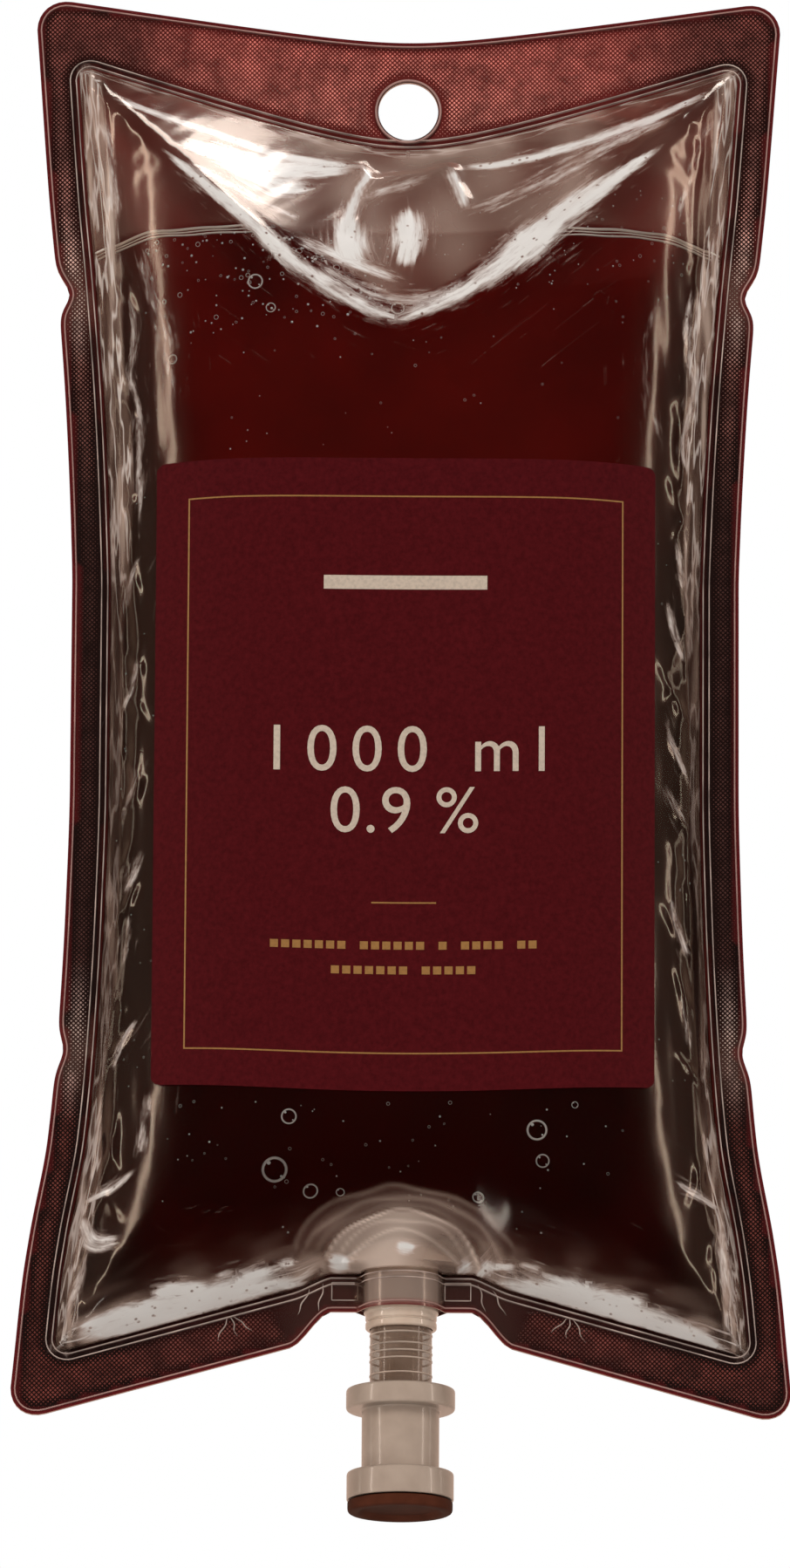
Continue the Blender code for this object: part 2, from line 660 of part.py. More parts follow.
def make_membrane_tube(material):
    """The narrower clear tube, closed half way by the thin diaphragm that the spike pierces."""
    wall_top = TUBE_TOP - DIAPHRAGM_DROP
    wall_bottom = wall_top - DIAPHRAGM_THICKNESS
    profile = [(0.0, wall_top), (PORT_BORE_RADIUS, wall_top)]
    profile += [(PORT_BORE_RADIUS, TUBE_TOP), (TUBE_RADIUS, TUBE_TOP)]
    profile += [(TUBE_RADIUS, TUBE_BOTTOM), (PORT_BORE_RADIUS, TUBE_BOTTOM)]
    profile += [(PORT_BORE_RADIUS, wall_bottom), (0.0, wall_bottom)]
    turn("membrane_tube", profile, material)


def make_closure_housing(material):
    """The spool that covers the tube's end: a flange, a body, and a foot held in the ring."""
    socket_floor = TUBE_BOTTOM - FIT_CLEARANCE
    profile = [(SOCKET_RADIUS, FLANGE_TOP)]
    profile += rounded_top(FLANGE_RADIUS, FLANGE_TOP, EDGE_ROUNDING)
    profile += rounded_bottom(FLANGE_RADIUS, FLANGE_BOTTOM, EDGE_ROUNDING)
    profile += [(HOUSING_RADIUS, FLANGE_BOTTOM), (HOUSING_RADIUS, FOOT_TOP)]
    profile += [(HOUSING_FOOT_RADIUS, FOOT_TOP), (HOUSING_FOOT_RADIUS, FOOT_BOTTOM)]
    profile += [(PORT_BORE_RADIUS, FOOT_BOTTOM), (PORT_BORE_RADIUS, socket_floor)]
    profile += [(SOCKET_RADIUS, socket_floor)]
    turn("closure_housing", profile, material)


def make_retainer_ring(material):
    """The lower rim, which traps the housing's foot and holds the septum."""
    hole = HOUSING_RADIUS + FIT_CLEARANCE
    bore = RING_RADIUS - RING_WALL
    profile = [(hole, RING_TOP)]
    profile += rounded_top(RING_RADIUS, RING_TOP, EDGE_ROUNDING)
    profile += [(RING_RADIUS, RING_BOTTOM), (bore, RING_BOTTOM)]
    profile += [(bore, RING_TOP - RING_TOP_WALL), (hole, RING_TOP - RING_TOP_WALL)]
    turn("retainer_ring", profile, material)


def make_septum(material):
    """The rubber stopper: a plug inside the ring, and a thicker rim with a recessed face to pierce."""
    plug_radius = RING_RADIUS - RING_WALL - FIT_CLEARANCE
    face = SEPTUM_BOTTOM + SEPTUM_RECESS
    profile = [(0.0, SEPTUM_TOP), (plug_radius, SEPTUM_TOP), (plug_radius, SEPTUM_RIM_TOP)]
    profile += [(SEPTUM_RIM_RADIUS, SEPTUM_RIM_TOP)]
    profile += rounded_bottom(SEPTUM_RIM_RADIUS, SEPTUM_BOTTOM, SEPTUM_RIM_ROUNDING)
    profile += [(SEPTUM_FACE_RADIUS + SEPTUM_RECESS, SEPTUM_BOTTOM)]
    profile += [(SEPTUM_FACE_RADIUS, face), (0.0, face)]
    turn("septum", profile, material)


def make_port():
    clear = plastic("port_clear", (0.52, 0.38, 0.30), 0.2, 0.7)
    cream = plastic("closure_cream", (0.52, 0.45, 0.38), 0.35)
    make_port_boat(clear)
    make_membrane_tube(clear)
    make_closure_housing(cream)
    make_retainer_ring(cream)
    make_septum(plastic("septum_rubber", (0.085, 0.020, 0.008), 0.6))


remove_startup_objects()
make_films()
make_saline()
make_label()
make_port()
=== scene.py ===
"""A filled fluid bag that hangs from the hole in its top seal, lit in a pale studio.

Metres, +Z up, the front faces -Y, and the origin is the centre of the hanger hole.
"""

import math

import bmesh
import bpy
import numpy as np
from mathutils import Matrix, Vector, geometry


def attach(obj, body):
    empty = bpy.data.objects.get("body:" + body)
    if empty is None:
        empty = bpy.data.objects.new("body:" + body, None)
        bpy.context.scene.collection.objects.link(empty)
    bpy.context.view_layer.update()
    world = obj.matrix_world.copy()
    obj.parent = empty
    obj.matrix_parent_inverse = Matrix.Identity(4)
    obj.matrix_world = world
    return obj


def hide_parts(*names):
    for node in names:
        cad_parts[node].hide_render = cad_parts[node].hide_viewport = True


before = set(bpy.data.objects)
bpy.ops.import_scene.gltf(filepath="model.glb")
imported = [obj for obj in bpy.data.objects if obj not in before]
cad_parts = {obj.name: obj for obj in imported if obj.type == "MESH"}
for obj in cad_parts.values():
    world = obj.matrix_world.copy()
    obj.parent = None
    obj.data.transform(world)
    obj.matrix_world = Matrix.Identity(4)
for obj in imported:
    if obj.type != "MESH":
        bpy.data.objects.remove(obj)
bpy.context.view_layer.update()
scene = bpy.context.scene

# Camera
# It stands well in front of the bag and below it, and looks up at the label. The long
# lens keeps the two side seams almost parallel, as the photograph has them.
camera_target = Vector((-0.0020, 0.0, -0.1503))
camera_distance = 3.0
camera_rise = math.radians(13.5)
camera_roll = math.radians(0.35)
camera_lens = 320.35

camera_data = bpy.data.cameras.new("photo_camera")
camera_data.lens = camera_lens
camera_data.sensor_width = 36.0
camera_data.clip_end = 20.0
camera = bpy.data.objects.new("photo_camera", camera_data)
scene.collection.objects.link(camera)
look = Vector((0.0, math.cos(camera_rise), math.sin(camera_rise)))
camera.matrix_world = (
    Matrix.Translation(camera_target - camera_distance * look)
    @ Matrix.Rotation(math.radians(90.0) + camera_rise, 4, "X")
    @ Matrix.Rotation(camera_roll, 4, "Z")
)
scene.camera = camera
scene.view_settings.view_transform = "Standard"

# Studio
# A pale floor, a pale backdrop behind the bag, and soft boxes above and beside it whose
# images make some of the white streaks in the clear film; the rest are painted highlights.
# The room in front of the bag is dim.
floor_height = -0.95
floor_half_width = 3.0


def new_material(name):
    material = bpy.data.materials.new(name)
    material.use_nodes = True
    tree = material.node_tree
    tree.nodes.clear()
    return material, tree, tree.nodes.new("ShaderNodeOutputMaterial")


def feed(tree, socket, value):
    """Links a node's output to a socket, or sets the socket's own value."""
    if isinstance(value, bpy.types.NodeSocket):
        tree.links.new(value, socket)
    elif isinstance(value, tuple) and len(value) == 3 and socket.type == "RGBA":
        socket.default_value = (*value, 1.0)
    else:
        socket.default_value = value


def add_node(tree, kind, *feeds, **settings):
    """A node with its plain settings. Its inputs are fed in order, or by name with _ for a blank."""
    node = tree.nodes.new(kind)
    plain = {name: value for name, value in settings.items() if name in node.bl_rna.properties}
    for name, value in plain.items():
        setattr(node, name, value)
    for name, value in settings.items():
        if name not in plain:
            feed(tree, node.inputs[name.replace("_", " ")], value)
    for socket, value in zip(node.inputs, feeds, strict=False):
        feed(tree, socket, value)
    return node


def calc(tree, operation, *feeds, clamp=False):
    """The result of one sum on numbers or on other nodes' outputs."""
    return add_node(tree, "ShaderNodeMath", *feeds, operation=operation, use_clamp=clamp).outputs[0]


def mapped(tree, value, low, high, to_low=0.0, to_high=1.0, smooth=False):
    """A value carried over from one range to another."""
    kind = "SMOOTHSTEP" if smooth else "LINEAR"
    node = add_node(tree, "ShaderNodeMapRange", value, low, high, to_low, to_high, interpolation_type=kind)
    return node.outputs["Result"]


def noise(tree, place, scale, detail, roughness=0.5):
    node = add_node(tree, "ShaderNodeTexNoise", Vector=place, Scale=scale, Detail=detail)
    feed(tree, node.inputs["Roughness"], roughness)
    return node.outputs["Fac"]


def two_colours(tree, share, dark, pale, low=0.0, high=1.0):
    """A colour that goes from dark to pale as the share goes from low to high."""
    ramp = add_node(tree, "ShaderNodeValToRGB", share)
    for stop, colour, position in zip(ramp.color_ramp.elements, (dark, pale), (low, high), strict=True):
        stop.color = (*colour, 1.0)
        stop.position = position
    return ramp.outputs["Color"]


def plastic(tree, colour, roughness, **settings):
    """The one shading node that every opaque surface here is made with."""
    settings |= {"Base_Color": colour, "Roughness": roughness}
    return add_node(tree, "ShaderNodeBsdfPrincipled", **settings).outputs[0]


def layered(tree, share, below, above):
    return add_node(tree, "ShaderNodeMixShader", share, below, above).outputs[0]


def object_place(tree):
    return tree.nodes.new("ShaderNodeTexCoord").outputs["Object"]


def soft_box(name, place, aim_height, width, height, radiance, in_gloss=True, colour=(1.0, 1.0, 1.0)):
    """A rectangular lamp of a known brightness, seen in the film unless in_gloss is off."""
    lamp = bpy.data.lights.new(name, "AREA")
    lamp.shape = "RECTANGLE"
    lamp.size = width
    lamp.size_y = height
    lamp.energy = radiance * math.pi * width * height
    lamp.color = colour
    box = bpy.data.objects.new(name, lamp)
    scene.collection.objects.link(box)
    box.location = place
    direction = Vector((0.0, 0.0, aim_height)) - Vector(place)
    box.rotation_euler = direction.to_track_quat("-Z", "Y").to_euler()
    box.visible_glossy = in_gloss
    box.visible_camera = False


warm_white = (1.0, 0.84, 0.72)
soft_box("left_top_box", (0.33, 0.14, 1.10), -0.02, 0.32, 0.60, 6.0)
soft_box("right_top_box", (-0.43, 0.06, 1.10), -0.02, 0.13, 0.52, 6.0, in_gloss=False)
soft_box("front_top_box", (0.0, -0.36, 1.20), -0.02, 0.26, 0.12, 5.0, in_gloss=False)
soft_box("left_strip", (-1.30, -0.62, 0.10), -0.15, 0.12, 1.30, 7.0, colour=warm_white)
soft_box("left_back_strip", (-1.30, 0.16, 0.00), -0.15, 0.09, 1.10, 2.0, colour=warm_white)
soft_box("right_strip", (1.25, -0.45, 0.10), -0.15, 0.10, 1.30, 6.0, colour=warm_white)
soft_box("right_back_strip", (1.25, 0.20, 0.00), -0.15, 0.09, 1.10, 2.0, colour=warm_white)
soft_box("low_strip", (-0.35, -0.22, -0.80), -0.25, 0.45, 0.05, 5.0)
soft_box("front_fill", (0.0, -2.4, 1.2), -0.15, 1.4, 1.0, 5.4, in_gloss=False)

world = bpy.data.worlds.new("studio_room")
world.use_nodes = True
room = world.node_tree
room.nodes.clear()
ray = room.nodes.new("ShaderNodeLightPath").outputs
heading = add_node(room, "ShaderNodeSeparateXYZ", room.nodes.new("ShaderNodeTexCoord").outputs["Generated"])
behind = mapped(room, heading.outputs["Y"], 0.05, 0.75, 0.03, 0.85, smooth=True)
beside = mapped(room, calc(room, "ABSOLUTE", heading.outputs["X"]), 0.60, 0.95, 0.0, 0.11, smooth=True)
round_about = calc(room, "MAXIMUM", behind, beside)
mirrored = add_node(room, "ShaderNodeMix", Factor=ray["Is Glossy Ray"], A=0.30, B=round_about)
seen = calc(room, "MAXIMUM", ray["Is Camera Ray"], ray["Is Transmission Ray"])
strength = add_node(room, "ShaderNodeMix", Factor=seen, A=mirrored.outputs["Result"], B=1.0)
white = (1.0, 1.0, 1.0)
room_tint = add_node(
    room, "ShaderNodeMix", data_type="RGBA", Factor=ray["Is Glossy Ray"], A=white, B=(1.0, 0.70, 0.55)
)
backdrop = add_node(room, "ShaderNodeBackground", room_tint.outputs["Result"], strength.outputs["Result"])
add_node(room, "ShaderNodeOutputWorld", backdrop.outputs[0])
scene.world = world

floor_mesh = bpy.data.meshes.new("studio_floor")
floor_corners = [
    (x * floor_half_width, y * floor_half_width, floor_height)
    for x, y in ((-1, -1), (1, -1), (1, 1), (-1, 1))
]
floor_mesh.from_pydata(floor_corners, [], [(0, 1, 2, 3)])
studio_floor = bpy.data.objects.new("studio_floor", floor_mesh)
scene.collection.objects.link(studio_floor)
floor_material, floor_tree, floor_output = new_material("pale_floor")
feed(floor_tree, floor_output.inputs[0], plastic(floor_tree, (0.82, 0.81, 0.80), 0.6))
floor_mesh.materials.append(floor_material)
studio_floor.visible_glossy = False

# Film sheets: outline
# Two clear sheets are welded together round a pouch. The outline is waisted, because the
# full pouch draws the sides in, and it keeps its width only at the four corners.
film_thickness = 0.00035
sheet_gap = 0.0003
sheet_corner_radius = 0.0075
hole_radius = 0.0065
sheet_top_height = 0.0155
top_edge_rise = 0.0089
top_edge_reach = 0.0736
top_edge_bend = 0.22
pouch_top_height = -0.0086
pouch_bottom_height = -0.2582
pouch_half_depth = 0.0240
pouch_corner_radius = 0.0035
pouch_top_rise = 0.0175
pouch_top_reach = 0.0680
pouch_top_bend = 0.25
waist_half_width = 0.0636
top_flare = 0.0084
top_flare_length = 0.1180
bottom_flare = 0.0105
bottom_flare_length = 0.1240
facet_slope = 0.55
facet_flare = 1.4
bottom_rounding = 0.0440
crease_softness = 0.0040
pouch_flatness = 1.55
side_fullness = 1.1
bottom_fullness = 1.12
side_seal_width = 0.0083
bottom_seal_width = 0.0122
bottom_seal_step = 0.0012
bottom_seal_slope = 0.28
notches = ((-0.0413, 0.0025), (-0.2110, 0.0014))
notch_spread = 0.0038
port_flat_half_width = 0.0152
port_relief_depth = 0.0043
port_relief_run = 0.0085
top_flare_shape = ((0.0, 1.0), (0.25, 0.72), (0.42, 0.48), (0.66, 0.21), (0.9, 0.04), (1.0, 0.0))
bottom_flare_shape = (
    (0.0, 1.0),
    (0.13, 0.85),
    (0.21, 0.71),
    (0.37, 0.37),
    (0.55, 0.19),
    (0.78, 0.06),
    (1.0, 0.0),
)


def smooth_step(value):
    clipped = np.clip(value, 0.0, 1.0)
    return clipped * clipped * (3.0 - 2.0 * clipped)


def bell(away, reach):
    return np.exp(-((away / reach) ** 2))


def through_points(points, value):
    """A smooth monotone curve through points, carried on straight past its first one."""
    xs = np.array([point[0] for point in points])
    ys = np.array([point[1] for point in points])
    steps = np.diff(ys) / np.diff(xs)
    slopes = np.zeros(len(xs))
    slopes[0] = steps[0]
    slopes[1:-1] = 2.0 * steps[1:] * steps[:-1] / (steps[1:] + steps[:-1])
    value = np.asarray(value, dtype=float)
    inside = np.clip(value, xs[0], xs[-1])
    index = np.clip(np.searchsorted(xs, inside, side="right") - 1, 0, len(xs) - 2)
    span = xs[index + 1] - xs[index]
    t = (inside - xs[index]) / span
    start = (1.0 + 2.0 * t) * ys[index] + t * span * slopes[index]
    end = (3.0 - 2.0 * t) * ys[index + 1] + (t - 1.0) * span * slopes[index + 1]
    return (1.0 - t) ** 2 * start + t**2 * end + np.minimum(value - xs[0], 0.0) * slopes[0]


def hanging_curve(x, reach, rise, bend):
    end = math.hypot(bend, 1.0) - bend
    return rise * (np.hypot(bend, x / reach) - bend) / end


def pouch_top(x):
    return pouch_top_height + hanging_curve(x, pouch_top_reach, pouch_top_rise, pouch_top_bend)


def sheet_top(x):
    return sheet_top_height + hanging_curve(x, top_edge_reach, top_edge_rise, top_edge_bend)


def pouch_bottom(x):
    beyond_port = np.maximum(np.abs(x) - port_flat_half_width, 0.0)
    step = bottom_seal_step * smooth_step(beyond_port / port_relief_run)
    return pouch_bottom_height - step - bottom_seal_slope * beyond_port


def sheet_bottom(x):
    beyond_port = np.maximum(np.abs(x) - port_flat_half_width, 0.0)
    relief = port_relief_depth * (1.0 - smooth_step(beyond_port / port_relief_run))
    return pouch_bottom(x) - bottom_seal_width + relief


def pouch_half_width(z):
    corner_top = pouch_top(waist_half_width + top_flare)
    corner_bottom = pouch_bottom(waist_half_width + bottom_flare)
    top_share = through_points(top_flare_shape, (corner_top - z) / top_flare_length)
    bottom_share = through_points(bottom_flare_shape, (z - corner_bottom) / bottom_flare_length)
    return waist_half_width + top_flare * top_share + bottom_flare * bottom_share


def sheet_half_width(z):
    width = pouch_half_width(z) + side_seal_width
    for height, depth in notches:
        width = width - depth * bell(z - height, notch_spread)
    return width


# Film sheets: the filled pouch
# The liquid pushes the sheets apart into a pillow. Above it the film lies slack in one
# sloping facet that ends in a V, and at the bottom it rounds down to the weld and the port.
sleeve_radius = 0.0080
fit_clearance = 0.0003
boat_half_width = 0.0155
boat_height = 0.0065
boat_tip_depth = 0.0010
boat_above_seal = 0.0022
boat_top = pouch_bottom_height + boat_above_seal + boat_height
wrap_radius = (sleeve_radius + fit_clearance) / math.cos(math.radians(18.0))


def soft_min(first, second, softness):
    """The lesser of two depths, rounded where they meet. The rounding fades out at the weld."""
    reach = np.clip(first + second, 0.01 * softness, softness)
    overlap = np.maximum(reach - np.abs(first - second), 0.0)
    return np.minimum(first, second) - overlap**2 / (4.0 * reach)


def arched(share, fullness):
    foot = math.sqrt(fullness**2 - 1.0)
    return (np.sqrt(fullness**2 - np.clip(share, 0.0, 1.0) ** 2) - foot) / (fullness - foot)


def boat_half_depth(x):
    share = np.clip(np.abs(x) / boat_half_width, 0.0, 1.0)
    return boat_tip_depth + (sleeve_radius - boat_tip_depth) * (1.0 - share**2)


def port_cover(x, z):
    """Half the depth that the film needs to pass round the sleeve and the boat."""
    wrap = np.sqrt(np.maximum(wrap_radius**2 - x**2, 0.0))
    boat = boat_half_depth(x) + 2.0 * fit_clearance
    boat = np.where(np.abs(x) < boat_half_width + fit_clearance, boat, 0.0)
    boat_share = smooth_step((z - pouch_bottom_height) / boat_above_seal)
    fade = 1.0 - smooth_step((z - boat_top) / boat_height)
    return (wrap + (np.maximum(boat, wrap) - wrap) * boat_share) * fade


def pouch_depth(x, z):
    """Half the depth of the filled pouch at a point of the middle plane."""
    share = np.abs(x) / pouch_half_width(z)
    across = pouch_half_depth * arched(share**pouch_flatness, side_fullness)
    slope = facet_slope * (1.0 + facet_flare * share**2)
    facet = slope * np.maximum(pouch_top(x) - z, 0.0)
    up_share = (z - pouch_bottom(x)) / bottom_rounding
    rounding = pouch_half_depth * arched(1.0 - up_share, bottom_fullness)
    pillow = soft_min(soft_min(across, facet, crease_softness), rounding, crease_softness)
    return np.maximum(np.maximum(pillow, 0.0), port_cover(x, z))


def from_seams(x, z):
    """Distances in from the side seam, up from the bottom weld and down from the top one."""
    return pouch_half_width(z) - np.abs(x), z - pouch_bottom(x), pouch_top(x) - z


def seam_distance(x, z):
    """How far a point of the pouch is from the nearest weld."""
    edge, over_bottom, under_top = from_seams(x, z)
    return np.minimum(np.minimum(edge, over_bottom), under_top)


# Film sheets: creases
# Welded film can't stretch, so the full pouch puckers: long folds beside the side seams,
# short creases that run in from them, pleats under the top seam and ripples at the bottom.
def waves(seed, count, shortest, longest):
    """A smooth random relief between -1 and 1, from a few waves of set lengths."""
    chance = np.random.default_rng(seed)
    lengths = chance.uniform(shortest, longest, count)
    turns = chance.uniform(0.0, 2.0 * math.pi, count)
    shifts = chance.uniform(0.0, 2.0 * math.pi, count)

    def relief(x, z):
        total = np.zeros(np.broadcast(x, z).shape)
        for length, turn, shift in zip(lengths, turns, shifts, strict=True):
            along = x * math.cos(turn) + z * math.sin(turn)
            total = total + np.sin(2.0 * math.pi * along / length + shift)
        return total / math.sqrt(count)

    return relief


def crease(x, z, path, width, height):
    """A ridge along a broken line that fades out at both of its ends."""
    nearest = np.full(x.shape, 1.0)
    share = np.zeros(x.shape)
    points = np.array(path)
    lengths = np.hypot(*np.diff(points, axis=0).T)
    done = 0.0
    for start, end, length in zip(points[:-1], points[1:], lengths, strict=True):
        step = (end - start) / length
        along = np.clip((x - start[0]) * step[0] + (z - start[1]) * step[1], 0.0, length)
        away = np.hypot(x - start[0] - along * step[0], z - start[1] - along * step[1])
        closer = away < nearest
        nearest = np.where(closer, away, nearest)
        share = np.where(closer, (done + along) / lengths.sum(), share)
        done += length
    fade = smooth_step(share / 0.2) * smooth_step((1.0 - share) / 0.2)
    return height * fade * bell(nearest, width)


def dome(x, z, centre, half_width, half_height, rise):
    away = ((x - centre[0]) / half_width) ** 2 + ((z - centre[1]) / half_height) ** 2
    return rise * np.exp(-away)


relief_fade = 0.0022
broad_height = 0.00012
fold_inset, fold_wander, fold_width = 0.0050, 0.0010, 0.0015
fold_rise, fold_swell = 0.0004, 0.0002
near_inset, near_wander, near_width, near_rise = 0.0026, 0.0005, 0.0007, 0.00035
crumple_reach, crumple_height = 0.0105, 0.00018
facet_ripple_height = 0.00006
bottom_reach, bottom_ripple_height = 0.0100, 0.00045
crease_count, creases_top, creases_length = 34, -0.030, 0.225
# Each pleat is a path of (x, z) points, its half width, and how far it stands out.
front_pleats = (
    (((-0.0115, -0.0118), (-0.0085, -0.0165), (-0.0100, -0.0230), (-0.0120, -0.0330)), 0.0014, 0.0012),
    (((-0.0100, -0.0185), (-0.0040, -0.0165), (0.0040, -0.0155), (0.0105, -0.0125)), 0.0013, 0.0008),
    (((0.0095, -0.0120), (0.0105, -0.0180), (0.0132, -0.0250)), 0.0013, 0.0010),
    (((0.0560, -0.0040), (0.0380, -0.0150), (0.0180, -0.0270)), 0.0030, 0.0004),
    (((-0.0480, -0.0160), (-0.0311, -0.0335), (-0.0217, -0.0432), (-0.0120, -0.0492),
      (-0.0005, -0.0522)), 0.0013, 0.0006),
    (((-0.0005, -0.0522), (0.0121, -0.0480), (0.0252, -0.0392), (0.0364, -0.0272),
      (0.0500, -0.0150)), 0.0013, 0.0006),
)
front_domes = (
    ((-0.0123, -0.0335), 0.0038, 0.0060, 0.0010),
    ((0.0000, -0.0325), 0.0036, 0.0070, 0.0010),
)
facet_ripple = waves(11, 7, 0.004, 0.012)
broad_waves = waves(12, 6, 0.022, 0.050)
side_wander = waves(13, 5, 0.018, 0.060)
side_swell = waves(14, 6, 0.012, 0.034)
liquid_height = -0.0315
side_crumple = waves(15, 9, 0.0035, 0.010)
bottom_ripple = waves(16, 8, 0.005, 0.014)


def side_creases(seed, count):
    """Short slanting creases that run in from the side seams, as places and sizes."""
    chance = np.random.default_rng(seed)
    found = []
    for index in range(count):
        z = creases_top - creases_length * (index + chance.uniform(0.1, 0.9)) / count
        side = -1.0 if index % 2 else 1.0
        inner = chance.uniform(0.004, 0.009)
        drop = chance.uniform(0.006, 0.016) * (1.0 if chance.random() < 0.75 else -1.0)
        width = chance.uniform(0.0007, 0.0012)
        found.append((side, z, inner, drop, width, chance.uniform(0.0002, 0.0005)))
    return found


def film_relief(x, z, face_seed, pleats, domes, stiff):
    """How far the film stands out past the smooth pillow. stiff is 1 where the label holds it flat."""
    edge, over_bottom, under_top = from_seams(x, z)
    weld_fade = smooth_step(seam_distance(x, z) / relief_fade)
    shift = 0.31 * face_seed
    side = np.sign(x)
    in_facet = smooth_step((0.034 - under_top) / 0.012) * smooth_step(edge / 0.012)
    relief = broad_height * broad_waves(x + shift, z) * (1.0 - 0.75 * in_facet)
    fold_place = fold_inset + fold_wander * side_wander(shift + 0.05 * side, z)
    fold_height = fold_rise + fold_swell * side_swell(shift + 0.02 * side, z)
    relief += fold_height * bell(edge - fold_place, fold_width)
    near_place = near_inset + near_wander * side_wander(shift + 0.11 * side, z + 0.03)
    relief += near_rise * bell(edge - near_place, near_width)
    side_zone = bell(edge, crumple_reach)
    relief += crumple_height * side_zone * side_crumple(x + shift, 0.30 * z)
    facet_zone = smooth_step((0.030 - under_top) / 0.012) * smooth_step(edge / 0.012)
    relief += facet_ripple_height * facet_zone * facet_ripple(x + 0.9 * z * side + shift, 0.35 * z)
    bottom_zone = bell(over_bottom, bottom_reach) * smooth_step((np.abs(x) - 0.018) / 0.008)
    relief += bottom_ripple_height * bottom_zone * bottom_ripple(x + shift, 0.5 * z)
    for side, height, inner, drop, width, rise in side_creases(20 + face_seed, crease_count):
        outer_x = side * (pouch_half_width(np.array(height)) - 0.0015)
        turn = (outer_x - 0.6 * side * inner, height - 0.5 * drop)
        path = ((outer_x, height), turn, (outer_x - side * inner, height - drop))
        close = (np.abs(z - height) < 0.03) & (x * side > 0.0)
        if np.any(close):
            relief = relief + np.where(close, crease(x, z, path, width, rise), 0.0)
    for path, width, height in pleats:
        relief = relief + crease(x, z, path, width, height)
    for centre, half_width, half_height, rise in domes:
        relief = relief + dome(x, z, centre, half_width, half_height, rise)
    return relief * weld_fade * (1.0 - stiff)


# Film sheets: painted glare, haze and shade
# Where the film folds it shines, drawn as painted highlight streaks. Along its seams it is finely
# wrinkled and cloudy, the wrinkles drawn as painted highlight lines and the cloud partly painted
# sheen, and towards its corners the border is darker, a painted shade. The mesh carries these
# at its points, and the film's material shows them.
label_half_width = 0.0536
label_top = -0.0836
label_height = 0.1366
core_spread, core_margin, core_power = 1.22, 0.0006, 2.5
veil_spread, veil_margin, veil_share = 1.7, 0.0018, 0.30
end_fade, end_share = 0.14, 0.30
wisp_stretch = 0.16
streak_spacing = 0.013
glow_reach = 0.010
folds_top, folds_length = -88.0, 122.0
# The film that wraps the port's boat, as two domes with bright rings at shares of their size:
# the rings are painted highlights.
inner_dome, outer_dome = (0.0172, 0.0128), (0.0245, 0.0172)
inner_rings = ((0.99, 0.42), (0.86, 0.16), (0.70, 0.20))
outer_rings = ((0.99, 0.22), (0.88, 0.16), (0.79, 0.10))
ring_width = 0.024
streak_waves = waves(31, 14, 0.0016, 0.0052)
cloud_waves = waves(32, 8, 0.010, 0.030)
seam_waves = waves(33, 12, 0.0030, 0.0110)
# Each streak is a painted highlight, with a brightness and a path of (x, z, half width) in
# millimetres. First the slack facet: its top seam, two fans, the legs of the V and the pleats.
facet_streaks = (
    (0.85, ((-66, 1.4, 0.2), (-56, -2.7, 0.5), (-39, -8, 0.4), (-26, -12, 0.4), (-10, -13.2, 0.3))),
    (0.90, ((67, 3.4, 0.3), (53, -3.3, 0.8), (39, -8.4, 0.8), (23, -12.7, 0.5), (9, -13.9, 0.3))),
    (0.86, ((-52, -10.5, 0.3), (-43, -12.3, 1.6), (-33, -15.2, 3.2), (-26, -15.8, 2.6),
            (-10, -13.8, 0.4))),
    (0.80, ((-41, -13.5, 0.6), (-34, -17.8, 1.8), (-28, -21, 1.9), (-21, -20, 0.6))),
    (0.90, ((-53, -13.6, 0.2), (-45, -20.8, 0.6), (-34, -31, 1.2), (-29, -36, 1.1), (-25, -40, 0.5))),
    (0.72, ((-33, -32, 0.4), (-24, -40.6, 1.5), (-15, -46.9, 1.3), (-8, -50.8, 1), (-1, -53.1, 0.7))),
    (0.50, ((-47, -17, 0.3), (-40, -20.5, 0.5), (-32, -25, 0.5), (-22, -29.5, 0.2))),
    (0.62, ((-24, -34, 0.4), (-16.5, -37.3, 0.9), (-9, -40.3, 0.9), (-1, -43.8, 0.3))),
    (0.42, ((-19, -41, 0.4), (-8, -46.8, 1.3), (3, -48, 1.3), (13, -43.5, 0.5))),
    (1.00, ((-9.7, -13.5, 0.3), (-8.4, -15.9, 0.5), (-11, -20.5, 0.4), (-12.6, -27, 0.9),
            (-12.8, -31, 2.3),
            (-12.6, -35, 3.1), (-11, -38.5, 1.5))),
    (1.00, ((-0.3, -25.5, 1.3), (0.2, -30, 2.7), (0, -34.5, 2.4), (-0.8, -39.5, 0.8))),
    (0.50, ((-10, -22.9, 0.2), (-5, -19.8, 0.6), (1, -17.4, 0.6), (6.4, -15.6, 0.2))),
    (0.80, ((9.3, -14.6, 0.5), (10.7, -18.8, 0.8), (12.5, -24.3, 0.4))),
    (0.95, ((55, -11.8, 0.2), (47, -18, 0.8), (38, -25, 2.3), (30, -31.5, 2.9), (22, -38.5, 1.6))),
    (0.84, ((33, -29.5, 0.8), (25, -36.5, 2.9), (18, -42.3, 2.1), (9, -48.4, 1), (-3, -53.3, 0.6))),
    (0.44, ((58, -3.5, 0.3), (45, -9.8, 1.2), (35, -15.6, 2), (25, -20.9, 1.8), (10, -27.1, 0.7))),
)
